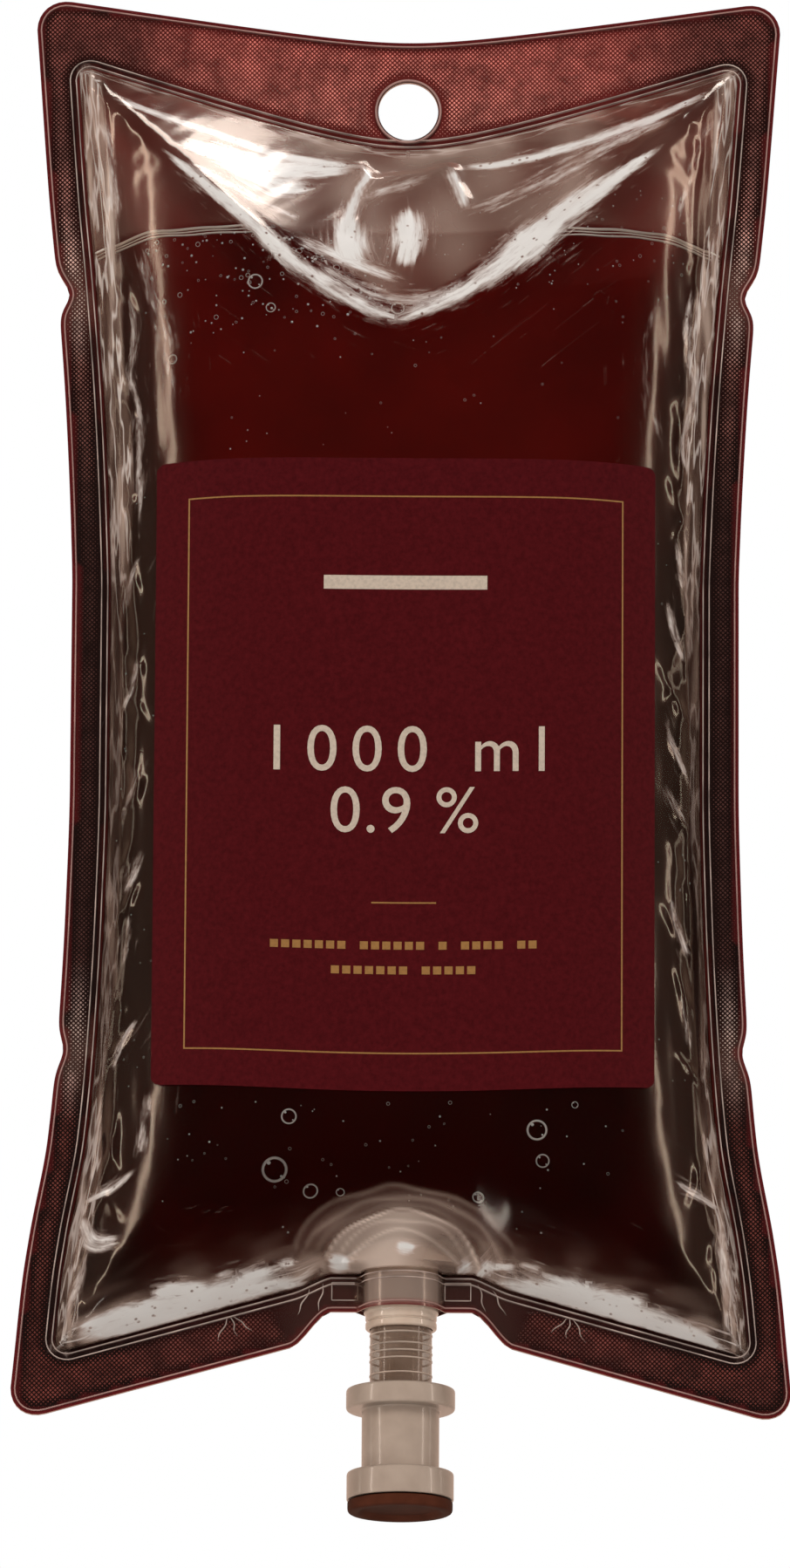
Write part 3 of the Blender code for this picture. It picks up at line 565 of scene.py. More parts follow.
# Long soft painted highlight bands that hang beside the side seams.
side_streaks = (
    (0.42, ((-67.5, -3, 0.3), (-64.5, -12, 0.6), (-62.5, -28, 0.7))),
    (0.34, ((-58, -34, 0.4), (-55.5, -44, 1.3), (-52, -56, 1.5), (-50.5, -72, 0.6))),
    (0.38, ((67, -2.5, 0.2), (63, -10, 0.4), (60.5, -18.7, 0.6), (58.5, -28, 0.2))),
    (0.24, ((54, -45, 0.8), (52, -60, 1.8), (54, -78, 0.8))),
    (0.50, ((61.8, -40.5, 0.3), (60.5, -54.8, 0.4), (61.9, -63.5, 0.3), (59.9, -78, 0.4),
            (62, -86.6, 0.2))),
    (0.50, ((-60.5, -43, 0.3), (-58.8, -51.5, 0.3), (-59.7, -62.3, 0.3), (-57.6, -72.3, 0.4),
            (-57.5, -99, 0.2))),
    (0.40, ((-54.3, -222, 0.9), (-54.6, -226.4, 1.1), (-55.7, -235.5, 0.2))),
)
# Painted highlights: the bright leaves along the bottom seam, the folds at its corners and
# the glints on the port.
bottom_streaks = (
    (0.92, ((-70, -272.4, 0.2), (-62, -269, 0.8), (-52, -266.4, 1), (-42.5, -264.6, 0.4))),
    (1.00, ((-52.5, -263.8, 0.2), (-46.6, -263, 0.8), (-41.5, -262.5, 0.4))),
    (0.85, ((-41, -264.6, 0.2), (-32, -262.2, 0.6), (-20.8, -260.3, 0.2))),
    (0.88, ((69, -274, 0.2), (57, -270.2, 0.9), (46, -266.7, 1), (38.8, -265, 0.4))),
    (0.95, ((38.8, -264.2, 0.2), (43.5, -263.7, 0.7), (51.5, -265.3, 0.2))),
    (0.70, ((19.2, -260.1, 0.2), (27, -261.6, 0.5), (35.7, -263.4, 0.7), (39.1, -264.9, 0.2))),
    (0.66, ((-68.1, -246.7, 0.4), (-67, -250.6, 1.2), (-65, -253.2, 1.6), (-59.8, -253.6, 0.2))),
    (0.50, ((-67.5, -256.6, 0.2), (-68.4, -261.3, 0.6), (-72.5, -270.5, 0.2))),
    (0.70, ((-67.9, -243.5, 0.2), (-62.1, -241.8, 0.6), (-57, -238, 0.2))),
    (0.60, ((58.1, -240, 0.2), (63, -242.2, 0.5), (67.5, -244.1, 0.2))),
    (0.50, ((68.4, -244.6, 0.3), (68.3, -253, 1.1), (69.4, -261.7, 1.2), (71.7, -271.4, 0.2))),
    (1.00, ((-14.8, -255.9, 0.6), (-13.3, -256.2, 1.1), (-11.8, -256.4, 0.5))),
    (1.00, ((-0.7, -253.5, 0.4), (0.6, -254, 0.9), (2.4, -254, 0.3))),
    (0.85, ((12.1, -257.6, 0.3), (14.3, -256.4, 0.6))),
    (0.85, ((16.4, -258.6, 0.4), (18.6, -256.7, 0.5))),
)


def side_fold_glare(seed, count):
    """Painted highlights for short folds by the side seams, running down and outwards, in millimetres."""
    chance = np.random.default_rng(seed)
    found = []
    for index in range(count):
        side = -1.0 if index % 2 else 1.0
        z = folds_top - folds_length * (index + chance.uniform(0.0, 0.9)) / count
        seam = 1000.0 * float(pouch_half_width(z / 1000.0))
        near, far = chance.uniform(2.8, 4.2), chance.uniform(5.5, 8.5)
        drop = chance.uniform(5.0, 14.0)
        bright = chance.uniform(0.36, 0.52)
        middle = side * (seam - 0.5 * (near + far) + chance.uniform(-0.8, 0.8))
        first = (side * (seam - far), z, 0.2)
        last = (side * (seam - near), z - drop, 0.2)
        found.append((bright, (first, (middle, z - 0.45 * drop, 0.4), last)))
    return tuple(found)


def seam_glare_lines(seed, count):
    """Fine painted highlight lines fanning out from each lower corner over the bottom seam, in mm."""
    chance = np.random.default_rng(seed)
    found = []
    for index in range(count):
        side = -1.0 if index % 2 else 1.0
        rise = 0.7 + 4.2 * index / count + chance.uniform(-0.2, 0.2)
        first, last = chance.uniform(62.0, 70.0), chance.uniform(19.0, 34.0)
        path = []
        for share in (0.0, 0.35, 0.7, 1.0):
            x = side * (first + (last - first) * share)
            over = rise * (0.35 + 0.65 * share) + chance.uniform(-0.2, 0.2)
            path.append((x, 1000.0 * float(pouch_bottom(x / 1000.0)) + over, 0.16))
        found.append((chance.uniform(0.50, 0.85), tuple(path)))
    return tuple(found)


def seam_glints(seed, count):
    """Small painted glints in the film just over the bottom seam, in millimetres."""
    chance = np.random.default_rng(seed)
    found = []
    for index in range(count):
        side = -1.0 if index % 2 else 1.0
        x = side * (19.0 + 32.0 * (index + chance.uniform(0.0, 0.9)) / count)
        z = 1000.0 * float(pouch_bottom(x / 1000.0)) + chance.uniform(1.5, 6.0)
        reach = chance.uniform(0.8, 3.2)
        slope = side * chance.uniform(-0.50, 0.10)
        half = chance.uniform(0.15, 0.32)
        path = ((x - reach, z - slope * reach, 0.2), (x, z, half), (x + reach, z + slope * reach, 0.2))
        found.append((chance.uniform(0.45, 0.75), path))
    return tuple(found)


film_glare_streaks = facet_streaks + side_streaks + bottom_streaks
film_glare_streaks += side_fold_glare(41, 12) + seam_glints(42, 10) + seam_glare_lines(43, 14)


def bent_path(points, steps=6):
    """Points in metres along a smooth curve through the given ones, with their half widths."""
    given = np.array(points) / 1000.0
    padded = np.vstack([2.0 * given[:1] - given[1:2], given, 2.0 * given[-1:] - given[-2:-1]])
    t = (np.arange(steps) / steps)[:, None]
    spans = []
    for before, start, end, after in zip(padded[:-3], padded[1:-2], padded[2:-1], padded[3:], strict=True):
        bend = 2.0 * before - 5.0 * start + 4.0 * end - after
        twist = 3.0 * start - before - 3.0 * end + after
        spans.append(start + 0.5 * (t * (end - before) + t**2 * bend + t**3 * twist))
    path = np.vstack([*spans, given[-1:]])
    path[:, 2] = np.maximum(path[:, 2], 0.0001)
    return path


def film_painted_glare(x, z):
    """How bright the painted highlight streaks are, and places along and across them, which wisps follow.
    """
    glow = np.zeros(x.shape)
    strongest = np.zeros(x.shape)
    wisps = np.zeros((len(x), 3))
    for index, (bright, given) in enumerate(film_glare_streaks):
        points = bent_path(given)
        low = points[:, :2].min(axis=0) - glow_reach
        high = points[:, :2].max(axis=0) + glow_reach
        near = (x > low[0]) & (x < high[0]) & (z > low[1]) & (z < high[1])
        found = np.zeros(np.count_nonzero(near))
        places = np.zeros((len(found), 3))
        done = 0.0
        total = np.hypot(*np.diff(points[:, :2], axis=0).T).sum()
        for start, end in zip(points[:-1], points[1:], strict=True):
            step = end - start
            length = math.hypot(step[0], step[1])
            along = (x[near] - start[0]) * step[0] + (z[near] - start[1]) * step[1]
            along = np.clip(along / length**2, 0.0, 1.0)
            off_x = x[near] - start[0] - along * step[0]
            off_z = z[near] - start[1] - along * step[1]
            away = np.hypot(off_x, off_z)
            half = start[2] + along * step[2]
            core = np.exp(-((away / (core_spread * half + core_margin)) ** core_power))
            veil = veil_share * bell(away, veil_spread * half + veil_margin)
            share = (done + along * length) / total
            fade = smooth_step(share / end_fade) * smooth_step((1.0 - share) / end_fade)
            value = bright * np.maximum(core, veil) * (end_share + (1.0 - end_share) * fade)
            across = (off_x * step[1] - off_z * step[0]) / length
            closer = value > found
            found = np.where(closer, value, found)
            apart = np.full(len(found), streak_spacing * index)
            here = np.stack([across, wisp_stretch * (done + along * length), apart], axis=1)
            places = np.where(closer[:, None], here, places)
            done += length
        glow[near] = 1.0 - (1.0 - glow[near]) * (1.0 - found)
        brighter = found > strongest[near]
        wisps[near] = np.where(brighter[:, None], places, wisps[near])
        strongest[near] = np.maximum(strongest[near], found)
    return glow * smooth_step(seam_distance(x, z) / 0.0004), wisps


def along_side(z, level, more_above, more_below, below=-0.205):
    """A level beside the side seams that grows towards the top and towards the bottom."""
    above = more_above * smooth_step((z + 0.125) / 0.050)
    return level + above + more_below * smooth_step((below - z) / 0.030)


def side_band_edge(x, z):
    """How far the crumpled band along each side seam reaches in from the seam."""
    reach = along_side(z, 0.0022, 0.0024, 0.0022, -0.215)
    return reach + 0.0007 * side_wander(0.3 * np.sign(x), z)


def film_fibres(x, z):
    """Places along and across the nearest seam, which the fine wrinkles follow."""
    nearest = seam_distance(x, z)
    along = np.where(nearest == from_seams(x, z)[0], z, x)
    return np.stack([nearest, 0.10 * along, 0.05 * np.sign(x)], axis=1)


def film_crumple_glare(x, z):
    """How finely wrinkled the film is, drawn as painted highlight lines: side seams, bottom and top."""
    edge, over_bottom, under_top = from_seams(x, z)
    inside = smooth_step(seam_distance(x, z) / 0.0004)
    band = 1.0 - smooth_step((edge - side_band_edge(x, z)) / 0.0006)
    beside = band * along_side(z, 0.27, 0.50, 0.34)
    low = 0.85 * (1.0 - smooth_step((over_bottom - 0.0020) / 0.0030))
    low = low * smooth_step((np.abs(x) - 0.016) / 0.006)
    top = 0.55 * (1.0 - smooth_step((under_top - 0.0012) / 0.0020))
    return inside * np.maximum(np.maximum(beside, low), top)


def notch_share(z):
    """1 at the height of a notch in the side borders, 0 well away from it."""
    share = np.zeros(z.shape)
    for height, _ in notches:
        share = np.maximum(share, bell(z - height, 0.010))
    return share


def film_haze_and_sheen(x, z):
    """How cloudy the film is, as real cloud and painted sheen: most along the seams and over the port."""
    edge, over_bottom, under_top = from_seams(x, z)
    inside = smooth_step(seam_distance(x, z) / 0.0006)
    above = smooth_step((z - liquid_height) / 0.0008)
    streaks = np.clip(0.40 + 0.80 * streak_waves(x, 0.09 * z), 0.0, 1.2) ** 1.6
    clouds = np.clip(0.5 + 0.5 * cloud_waves(x, z), 0.0, 1.0)
    band = 1.0 - smooth_step((edge - side_band_edge(x, z)) / 0.0008)
    beside = band * (0.14 + 0.36 * streaks) * along_side(z, 0.40, 0.60, 0.35)
    # A faint veil beside the seams below the level line: painted sheen.
    beside = beside + 0.030 * bell(edge - 0.0085, 0.0050) * (1.0 - above)
    over_seam = z - pouch_bottom_height + 0.0012
    inner_away = np.hypot(x / inner_dome[0], over_seam / inner_dome[1])
    outer_away = np.hypot(x / outer_dome[0], over_seam / outer_dome[1])
    # Bright rings over the port's boat: painted highlights.
    over_port = 0.20 * (1.0 - smooth_step((outer_away - 0.86) / 0.18)) * (0.5 + clouds)
    over_port += 0.34 * (1.0 - smooth_step((inner_away - 0.95) / 0.06)) * (0.75 + 0.5 * clouds)
    for away, rings in ((inner_away, inner_rings), (outer_away, outer_rings)):
        for ring, bright in rings:
            place = ring + 0.02 * cloud_waves(1.5 * x + ring, 1.5 * z)
            over_port = over_port + bright * bell(away - place, ring_width)
    seam = np.clip(0.30 + 0.75 * seam_waves(0.5 * x, 1.2 * over_bottom), 0.0, 1.1)
    low = bell(over_bottom, 0.0070) * (0.14 + 0.32 * seam) * np.where(x < 0.0, 1.25, 1.0)
    # Paler above the level line and in the slack facet: painted sheen.
    dry = above * (0.05 + 0.07 * clouds)
    pleated = bell(under_top, 0.0030) * (0.06 + 0.22 * seam)
    over_fold = z + 0.0522 - 0.75 * np.abs(x)
    in_facet = smooth_step(over_fold / 0.0025) * (1.0 - smooth_step((np.abs(x) - 0.034) / 0.014))
    slack = in_facet * (0.13 + 0.20 * clouds)
    haze_and_sheen = np.maximum(np.maximum(beside, over_port), np.maximum(low, pleated)) + dry + slack
    # Pale film over the sleeve, by the port and at the notches: painted sheen.
    wrapped = 0.52 * (np.abs(x) < sleeve_radius) * (z < pouch_bottom_height)
    by_port = 0.07 * smooth_step((0.030 - np.abs(x)) / 0.010) * (z < pouch_bottom_height - 0.0003)
    by_notch = 0.18 * notch_share(z) * smooth_step((np.abs(x) - 0.050) / 0.012) * (edge < -0.0018)
    outside = np.maximum(np.maximum(wrapped, by_port), by_notch)
    return np.maximum(np.clip(haze_and_sheen, 0.0, 0.95) * inside, outside)


def border_painted_shade(x, z):
    """How much painted shade darkens the border: more to the sides and low down, less at the notches."""
    sideways = smooth_step((np.abs(x) - 0.040) / 0.032)
    low = smooth_step((-0.060 - z) / 0.030)
    return np.clip(0.10 + 0.72 * sideways + 0.25 * low - 0.60 * notch_share(z) * sideways, 0.0, 0.93)


def label_hold(x, z):
    """1 under the label, 0 away from it."""
    beyond_x = (np.abs(x) - label_half_width + 0.002) / 0.006
    beyond_z = (np.abs(z - label_top + 0.5 * label_height) - 0.5 * label_height) / 0.006
    return 1.0 - smooth_step(np.maximum(beyond_x, beyond_z))


def film_tilt(x, z):
    """How much longer a step along Y is than the same step square to the film."""
    step = sheet_gap
    across = (pouch_depth(x + step, z) - pouch_depth(x - step, z)) / (2.0 * step)
    down = (pouch_depth(x, z + step) - pouch_depth(x, z - step)) / (2.0 * step)
    return np.sqrt(1.0 + across**2 + down**2)


def smooth_face(x, z):
    """How far a sheet's outer face is from the middle plane, without its folds."""
    return sheet_gap / 2.0 + pouch_depth(x, z) + film_thickness * np.minimum(film_tilt(x, z), 2.0)


def front_face(x, z):
    """The y of the front sheet's outer face."""
    x = np.asarray(x, dtype=float)
    z = np.asarray(z, dtype=float)
    return -(smooth_face(x, z) + film_relief(x, z, 0, front_pleats, front_domes, label_hold(x, z)))


def back_face(x, z):
    x = np.asarray(x, dtype=float)
    z = np.asarray(z, dtype=float)
    return smooth_face(x, z) + film_relief(x, z, 1, front_pleats[3:4], (), np.zeros(x.shape))


# Film sheets: mesh
# Each sheet is a fine grid over the pouch and a flat welded border round it, with the round
# hanger hole punched through the border and a cut edge that meets the other sheet.
hole_steps = 96
border_half_width, border_low, border_high = 0.090, -0.290, 0.030
corner_from, corner_gap = 0.05, 0.0012
weld_margin = 1e-5
film_sharp_angle = 50
off_weld_depth = -0.01
# How far the knurl keeps from the outer edge, from the pouch, from the hole and from the port.
knurl_gaps = (0.0015, 0.0023, 0.0012, 0.0290)
cut_rim_width = 0.0006
painted_shade_reach = 0.0010


def even_ends(count, crowd):
    """Shares from -1 to 1, closer together at the ends."""
    even = np.linspace(-1.0, 1.0, count)
    return (1.0 - crowd) * even + crowd * np.sin(0.5 * math.pi * even)


def frame_rows(top_of, bottom_of, half_width_of, radius, columns, rows, corner_steps):
    """Rows of points inside one rounded outline, as x and z arrays of rows by columns."""
    corner_x = half_width_of(pouch_top_height)
    corner_top = top_of(corner_x) - radius
    corner_bottom = bottom_of(half_width_of(pouch_bottom_height)) + radius
    rows_x = []
    rows_z = []
    for step in range(corner_steps):
        angle = 0.5 * math.pi * step / corner_steps
        xs = columns * (half_width_of(corner_top) - radius * (1.0 - math.sin(angle)))
        rows_x.append(xs)
        rows_z.append(top_of(xs) - radius * (1.0 - math.cos(angle)))
    for share in 0.5 * (rows + 1.0):
        side_z = corner_top + (corner_bottom - corner_top) * share
        xs = columns * half_width_of(side_z)
        upper = top_of(xs) - radius
        lower = bottom_of(xs) + radius
        rows_x.append(xs)
        rows_z.append(upper + (lower - upper) * share)
    for step in reversed(range(corner_steps)):
        angle = 0.5 * math.pi * step / corner_steps
        xs = columns * (half_width_of(corner_bottom) - radius * (1.0 - math.sin(angle)))
        rows_x.append(xs)
        rows_z.append(bottom_of(xs) + radius * (1.0 - math.cos(angle)))
    return np.array(rows_x), np.array(rows_z)


def rim_of(grid):
    """The outer places of a grid, once round from the top left corner."""
    return np.concatenate([grid[0, :], grid[1:, -1], grid[-1, -2::-1], grid[-2:0:-1, 0]])


def nearest_distance(points, loop):
    """Distance from each point to a closed loop of points."""
    starts = loop
    steps = np.roll(loop, -1, axis=0) - loop
    lengths = np.maximum(np.sum(steps**2, axis=1), 1e-12)
    best = np.full(len(points), 1.0)
    for start, step, length in zip(starts, steps, lengths, strict=True):
        share = np.clip(((points - start) @ step) / length, 0.0, 1.0)
        away = np.hypot(*(points - start - share[:, None] * step).T)
        best = np.minimum(best, away)
    return best


def film_outlines(column_count, row_count, corner_steps):
    """The pouch grid and the matching closed rims of the pouch and of the sheet."""
    columns = even_ends(column_count, 0.5)
    rows = even_ends(row_count, 0.5)
    shape = (columns, rows, corner_steps)
    xs, zs = frame_rows(pouch_top, pouch_bottom, pouch_half_width, pouch_corner_radius, *shape)
    edge_xs, edge_zs = frame_rows(sheet_top, sheet_bottom, sheet_half_width, sheet_corner_radius, *shape)
    pouch_rim = np.stack([rim_of(xs), rim_of(zs)], axis=1)
    sheet_rim = np.stack([rim_of(edge_xs), rim_of(edge_zs)], axis=1)
    return xs, zs, pouch_rim, sheet_rim


def ring_points(radius, count):
    angles = 2.0 * math.pi * np.arange(count) / count
    return np.stack([radius * np.cos(angles), radius * np.sin(angles)], axis=1)


def inside_loop(points, loop):
    """Which points lie inside a closed loop."""
    inside = np.zeros(len(points), dtype=bool)
    for start, end in zip(loop, np.roll(loop, -1, axis=0), strict=True):
        if start[1] == end[1]:
            continue
        spans = (start[1] > points[:, 1]) != (end[1] > points[:, 1])
        cross = start[0] + (end[0] - start[0]) * (points[:, 1] - start[1]) / (end[1] - start[1])
        inside ^= spans & (points[:, 0] < cross)
    return inside


def border_lattice(pouch_rim, sheet_rim, hole, pitch):
    """Loose points of the welded border on a lattice, clear of its three edges."""
    across = np.arange(-border_half_width, border_half_width, pitch)
    down = np.arange(border_low, border_high, pitch)
    points = np.stack(np.meshgrid(across, down), axis=-1).reshape(-1, 2)
    x, z = points.T
    inside_sheet = (np.abs(x) < sheet_half_width(z)) & (z < sheet_top(x)) & (z > sheet_bottom(x))
    inside_pouch = (np.abs(x) < pouch_half_width(z)) & (z < pouch_top(x)) & (z > pouch_bottom(x))
    points = points[inside_sheet & ~inside_pouch & (np.hypot(x, z) > hole_radius)]
    clear = 0.45 * pitch
    for loop in (pouch_rim, sheet_rim, hole):
        points = points[nearest_distance(points, loop) > clear]
    aside = np.abs(points[:, 0]) > corner_from
    return points[~(aside & (nearest_distance(points, sheet_rim) < corner_gap))]


def fill_border(pouch_rim, sheet_rim, hole, pitch):
    """Triangles of the border, as points and faces."""
    lattice = border_lattice(pouch_rim, sheet_rim, hole, pitch)
    loops = [sheet_rim, pouch_rim, hole]
    points = [Vector(point) for loop in loops for point in loop]
    edges = []
    first = 0
    for loop in loops:
        count = len(loop)
        edges += [(first + index, first + (index + 1) % count) for index in range(count)]
        first += count
    points += [Vector(point) for point in lattice]
    result = geometry.delaunay_2d_cdt(points, edges, [], 1, 1e-7)
    filled = np.array([tuple(point) for point in result[0]])
    faces = np.array([corners for corners in result[2] if len(corners) == 3])
    centres = filled[faces].mean(axis=1)
    kept = inside_loop(centres, sheet_rim) & ~inside_loop(centres, pouch_rim)
    kept &= np.hypot(*centres.T) > hole_radius * math.cos(math.pi / len(hole))
    return filled, faces[kept].tolist()


def border_y(x, z, side):
    """The outer face of the welded border."""
    return side * (sheet_gap / 2.0 + film_thickness + port_cover(x, z))


def strip(mesh, upper, lower):
    """A row of faces between two rows of vertices."""
    for column in range(len(upper) - 1):
        mesh.faces.new((upper[column], lower[column], lower[column + 1], upper[column + 1]))


def smooth_data(name, mesh, sharp=None):
    """A working mesh as finished data: smooth, but sharp where it turns by more than an angle."""
    data = bpy.data.meshes.new(name)
    mesh.to_mesh(data)
    mesh.free()
    data.shade_smooth()
    if sharp is not None:
        data.set_sharp_from_angle(angle=math.radians(sharp))
    return data


def sheet_data(name, face, side, pouch_grid, rims, pitch):
    """The mesh of one sheet: the pouch, its welded border, and the cut edge all round."""
    xs, zs = pouch_grid
    mesh = bmesh.new()
    ys = face(xs, zs)
    rim_ys = border_y(xs, zs, side)
    for rim in (np.s_[0, :], np.s_[-1, :], np.s_[:, 0], np.s_[:, -1]):
        ys[rim] = rim_ys[rim]
    grid = np.empty(xs.shape, dtype=object)
    for place in np.ndindex(xs.shape):
        grid[place] = mesh.verts.new((xs[place], ys[place], zs[place]))
    for upper, lower in zip(grid[:-1], grid[1:], strict=True):
        strip(mesh, upper, lower)
    border, faces = fill_border(*rims, ring_points(hole_radius, hole_steps), pitch)
    border_ys = border_y(border[:, 0], border[:, 1], side)
    verts = [mesh.verts.new((x, y, z)) for (x, z), y in zip(border, border_ys, strict=True)]
    for corners in faces:
        mesh.faces.new([verts[index] for index in corners])
    bmesh.ops.remove_doubles(mesh, verts=mesh.verts[:], dist=2e-6)
    bmesh.ops.recalc_face_normals(mesh, faces=mesh.faces[:])
    mesh.faces.ensure_lookup_table()
    if mesh.faces[0].normal.y * side < 0.0:
        bmesh.ops.reverse_faces(mesh, faces=mesh.faces[:])
    open_edges = [edge for edge in mesh.edges if edge.is_boundary]
    walls = bmesh.ops.extrude_edge_only(mesh, edges=open_edges)
    for item in walls["geom"]:
        if isinstance(item, bmesh.types.BMVert):
            item.co.y -= side * (sheet_gap / 2.0 + film_thickness)
    return smooth_data(name, mesh, film_sharp_angle)


def sheet_marks(flat, pouch_rim, sheet_rim):
    """What a sheet carries at its points, for its material and for the knurl."""
    x, z = flat.T
    inside = np.abs(x) < pouch_half_width(z) - weld_margin
    inside &= (z < pouch_top(x) - weld_margin) & (z > pouch_bottom(x) + weld_margin)
    border = flat[~inside]
    from_rim = nearest_distance(border, sheet_rim)
    from_pouch = nearest_distance(border, pouch_rim)
    from_hole = np.hypot(*border.T) - hole_radius
    from_port = np.hypot(border[:, 0], 1.2 * (border[:, 1] - pouch_bottom_height))
    distances = (from_rim, from_pouch, from_hole, from_port)
    glow, wisps = film_painted_glare(x, z)
    gaps = [distance - gap for distance, gap in zip(distances, knurl_gaps, strict=True)]
    weld_depth = np.full(len(flat), off_weld_depth)
    weld_depth[~inside] = np.minimum.reduce(gaps)
    cut_rim = np.zeros(len(flat))
    cut_rim[~inside] = 1.0 - smooth_step((from_rim - cut_rim_width) / cut_rim_width)
    # The border's painted shade, faded in from the pouch's rim.
    painted_shade = np.zeros(len(flat))
    painted_shade[~inside] = border_painted_shade(*border.T) * smooth_step(from_pouch / painted_shade_reach)
    # Marks for the material: cloud with painted sheen, wrinkle lines and streaks that are painted
    # highlights, and the border's painted shade.
    numbers = {"weld_depth": weld_depth, "haze_and_sheen": film_haze_and_sheen(x, z), "crumple_glare": film_crumple_glare(x, z)}
    numbers |= {"shine": glow, "cut_rim": cut_rim, "painted_shade": painted_shade * (1.0 - cut_rim)}
    return numbers, {"fibre": film_fibres(x, z), "wisp": wisps}


def make_sheet(name, face, side, column_count, row_count, pitch):
    """One film sheet as an object, with its marks."""
    xs, zs, *rims = film_outlines(column_count, row_count, 8)
    data = sheet_data(name, face, side, (xs, zs), rims, pitch)
    places = np.empty(3 * len(data.vertices))
    data.vertices.foreach_get("co", places)
    numbers, vectors = sheet_marks(places.reshape(-1, 3)[:, [0, 2]], *rims)
    for kind, key, marks in (("FLOAT", "value", numbers), ("FLOAT_VECTOR", "vector", vectors)):
        for mark_name, values in marks.items():
            attribute = data.attributes.new(mark_name, kind, "POINT")
            attribute.data.foreach_set(key, values.ravel())
    sheet = bpy.data.objects.new(name, data)
    scene.collection.objects.link(sheet)
    return sheet, *rims


fine = 1.0
front_sheet, pouch_rim, sheet_rim = make_sheet(
    "front_film_skin", front_face, -1, int(220 * fine), int(370 * fine), 0.0016
)
back_sheet, _, _ = make_sheet("back_film_skin", back_face, 1, int(110 * fine), int(190 * fine), 0.0022)


def mark(tree, name, output="Fac"):
    """A value that the film's mesh carries at its points."""
    return add_node(tree, "ShaderNodeAttribute", attribute_name=name).outputs[output]


def painted_glare_share(tree, place):
    """How much of the film is under painted glare: drawn streaks with torn rims, and fine wrinkle lines."""
    tear = noise(tree, mark(tree, "wisp", "Vector"), 950.0, 3.0, 0.65)
    torn = calc(tree, "MULTIPLY_ADD", tear, 1.3, -0.65)
    soft = mapped(tree, calc(tree, "ADD", mark(tree, "shine"), torn), 0.16, 0.92, smooth=True)
    beads = add_node(tree, "ShaderNodeTexVoronoi", Vector=place, Scale=420.0).outputs["Distance"]
    streaks = calc(tree, "MULTIPLY", soft, mapped(tree, beads, 0.08, 0.19, 0.32))
    # Fine wrinkles drawn as thin pale lines: painted highlights.
    wrinkle = noise(tree, mark(tree, "fibre", "Vector"), 520.0, 2.0, 0.55)
    off_ridge = calc(tree, "ABSOLUTE", calc(tree, "SUBTRACT", wrinkle, 0.5))
    ridge = mapped(tree, off_ridge, 0.0, 0.060, 1.0, 0.0, smooth=True)
    wrinkles = calc(tree, "MULTIPLY", ridge, mark(tree, "crumple_glare"))
    return calc(tree, "MAXIMUM", streaks, wrinkles, clamp=True)


def grain_bump(tree, place, scale, strength):
    """A very fine tooth in a surface, as the direction that it faces."""
    height = noise(tree, place, scale, 2.0)
    return add_node(tree, "ShaderNodeBump", Strength=strength, Distance=0.0001, Height=height).outputs[0]


def clear_film_material():
    """Clear plasticised film: see-through, with a bright sheen that grows at a glancing angle."""
    material, tree, output = new_material("clear_film_look")
    place = object_place(tree)
    height = add_node(tree, "ShaderNodeSeparateXYZ", place).outputs["Z"]
    bump = grain_bump(tree, place, 900.0, 0.10)
    gloss = add_node(tree, "ShaderNodeFresnel", IOR=1.5, Normal=bump).outputs[0]
    gloss = calc(tree, "MULTIPLY", gloss, mapped(tree, height, -0.0330, -0.0305, 1.3, 2.0, smooth=True))
    # The gloss is dimmed where the painted shade darkens the border.
    undimmed = calc(tree, "MULTIPLY_ADD", mark(tree, "painted_shade"), -0.85, 1.0)
    film = add_node(tree, "ShaderNodeBsdfTransparent", (0.97, 0.95, 0.94)).outputs[0]
    # The cloud, whitened where painted sheen lies in it.
    whiteness = two_colours(tree, mark(tree, "haze_and_sheen"), (0.50, 0.275, 0.190), (1.0, 0.80, 0.67), high=0.90)
    film = layered(tree, mark(tree, "haze_and_sheen"), film, plastic(tree, whiteness, 0.28))
    # Painted highlights: the streaks and the wrinkle lines, laid over the film in pale colour.
    glare = painted_glare_share(tree, place)
    warmth = two_colours(tree, glare, (0.76, 0.50, 0.40), (1.0, 0.95, 0.90))
    film = layered(tree, glare, film, plastic(tree, warmth, 0.30, Specular_IOR_Level=0.8))
    # Painted shade: a near-black layer that darkens the border towards its corners.
    film = layered(tree, mark(tree, "painted_shade"), film, plastic(tree, (0.016, 0.005, 0.004), 0.35))
    film = layered(tree, mark(tree, "cut_rim"), film, plastic(tree, (0.17, 0.008, 0.010), 0.35))
    shine = plastic(tree, (0.97, 0.81, 0.70), 0.13, Metallic=1.0, Normal=bump)
    film = layered(tree, calc(tree, "MULTIPLY", gloss, undimmed, clamp=True), film, shine)
    feed(tree, output.inputs["Surface"], film)
    return material


def height_tint(tree, place, stops):
    """Colours along the height of the bag, given as (height, colour) stops from low to high."""
    low = stops[0][0]
    high = stops[-1][0]
    height = add_node(tree, "ShaderNodeSeparateXYZ", place).outputs["Z"]
    ramp = add_node(tree, "ShaderNodeValToRGB", mapped(tree, height, low, high))
    elements = ramp.color_ramp.elements
    elements[0].color = (*stops[0][1], 1.0)
    elements[1].color = (*stops[-1][1], 1.0)
    for level, colour in stops[1:-1]:
        elements.new((level - low) / (high - low)).color = (*colour, 1.0)
    return ramp.outputs["Color"]


def scaled_colour(tree, colour, share):
    return add_node(tree, "ShaderNodeVectorMath", colour, operation="SCALE", Scale=share).outputs[0]


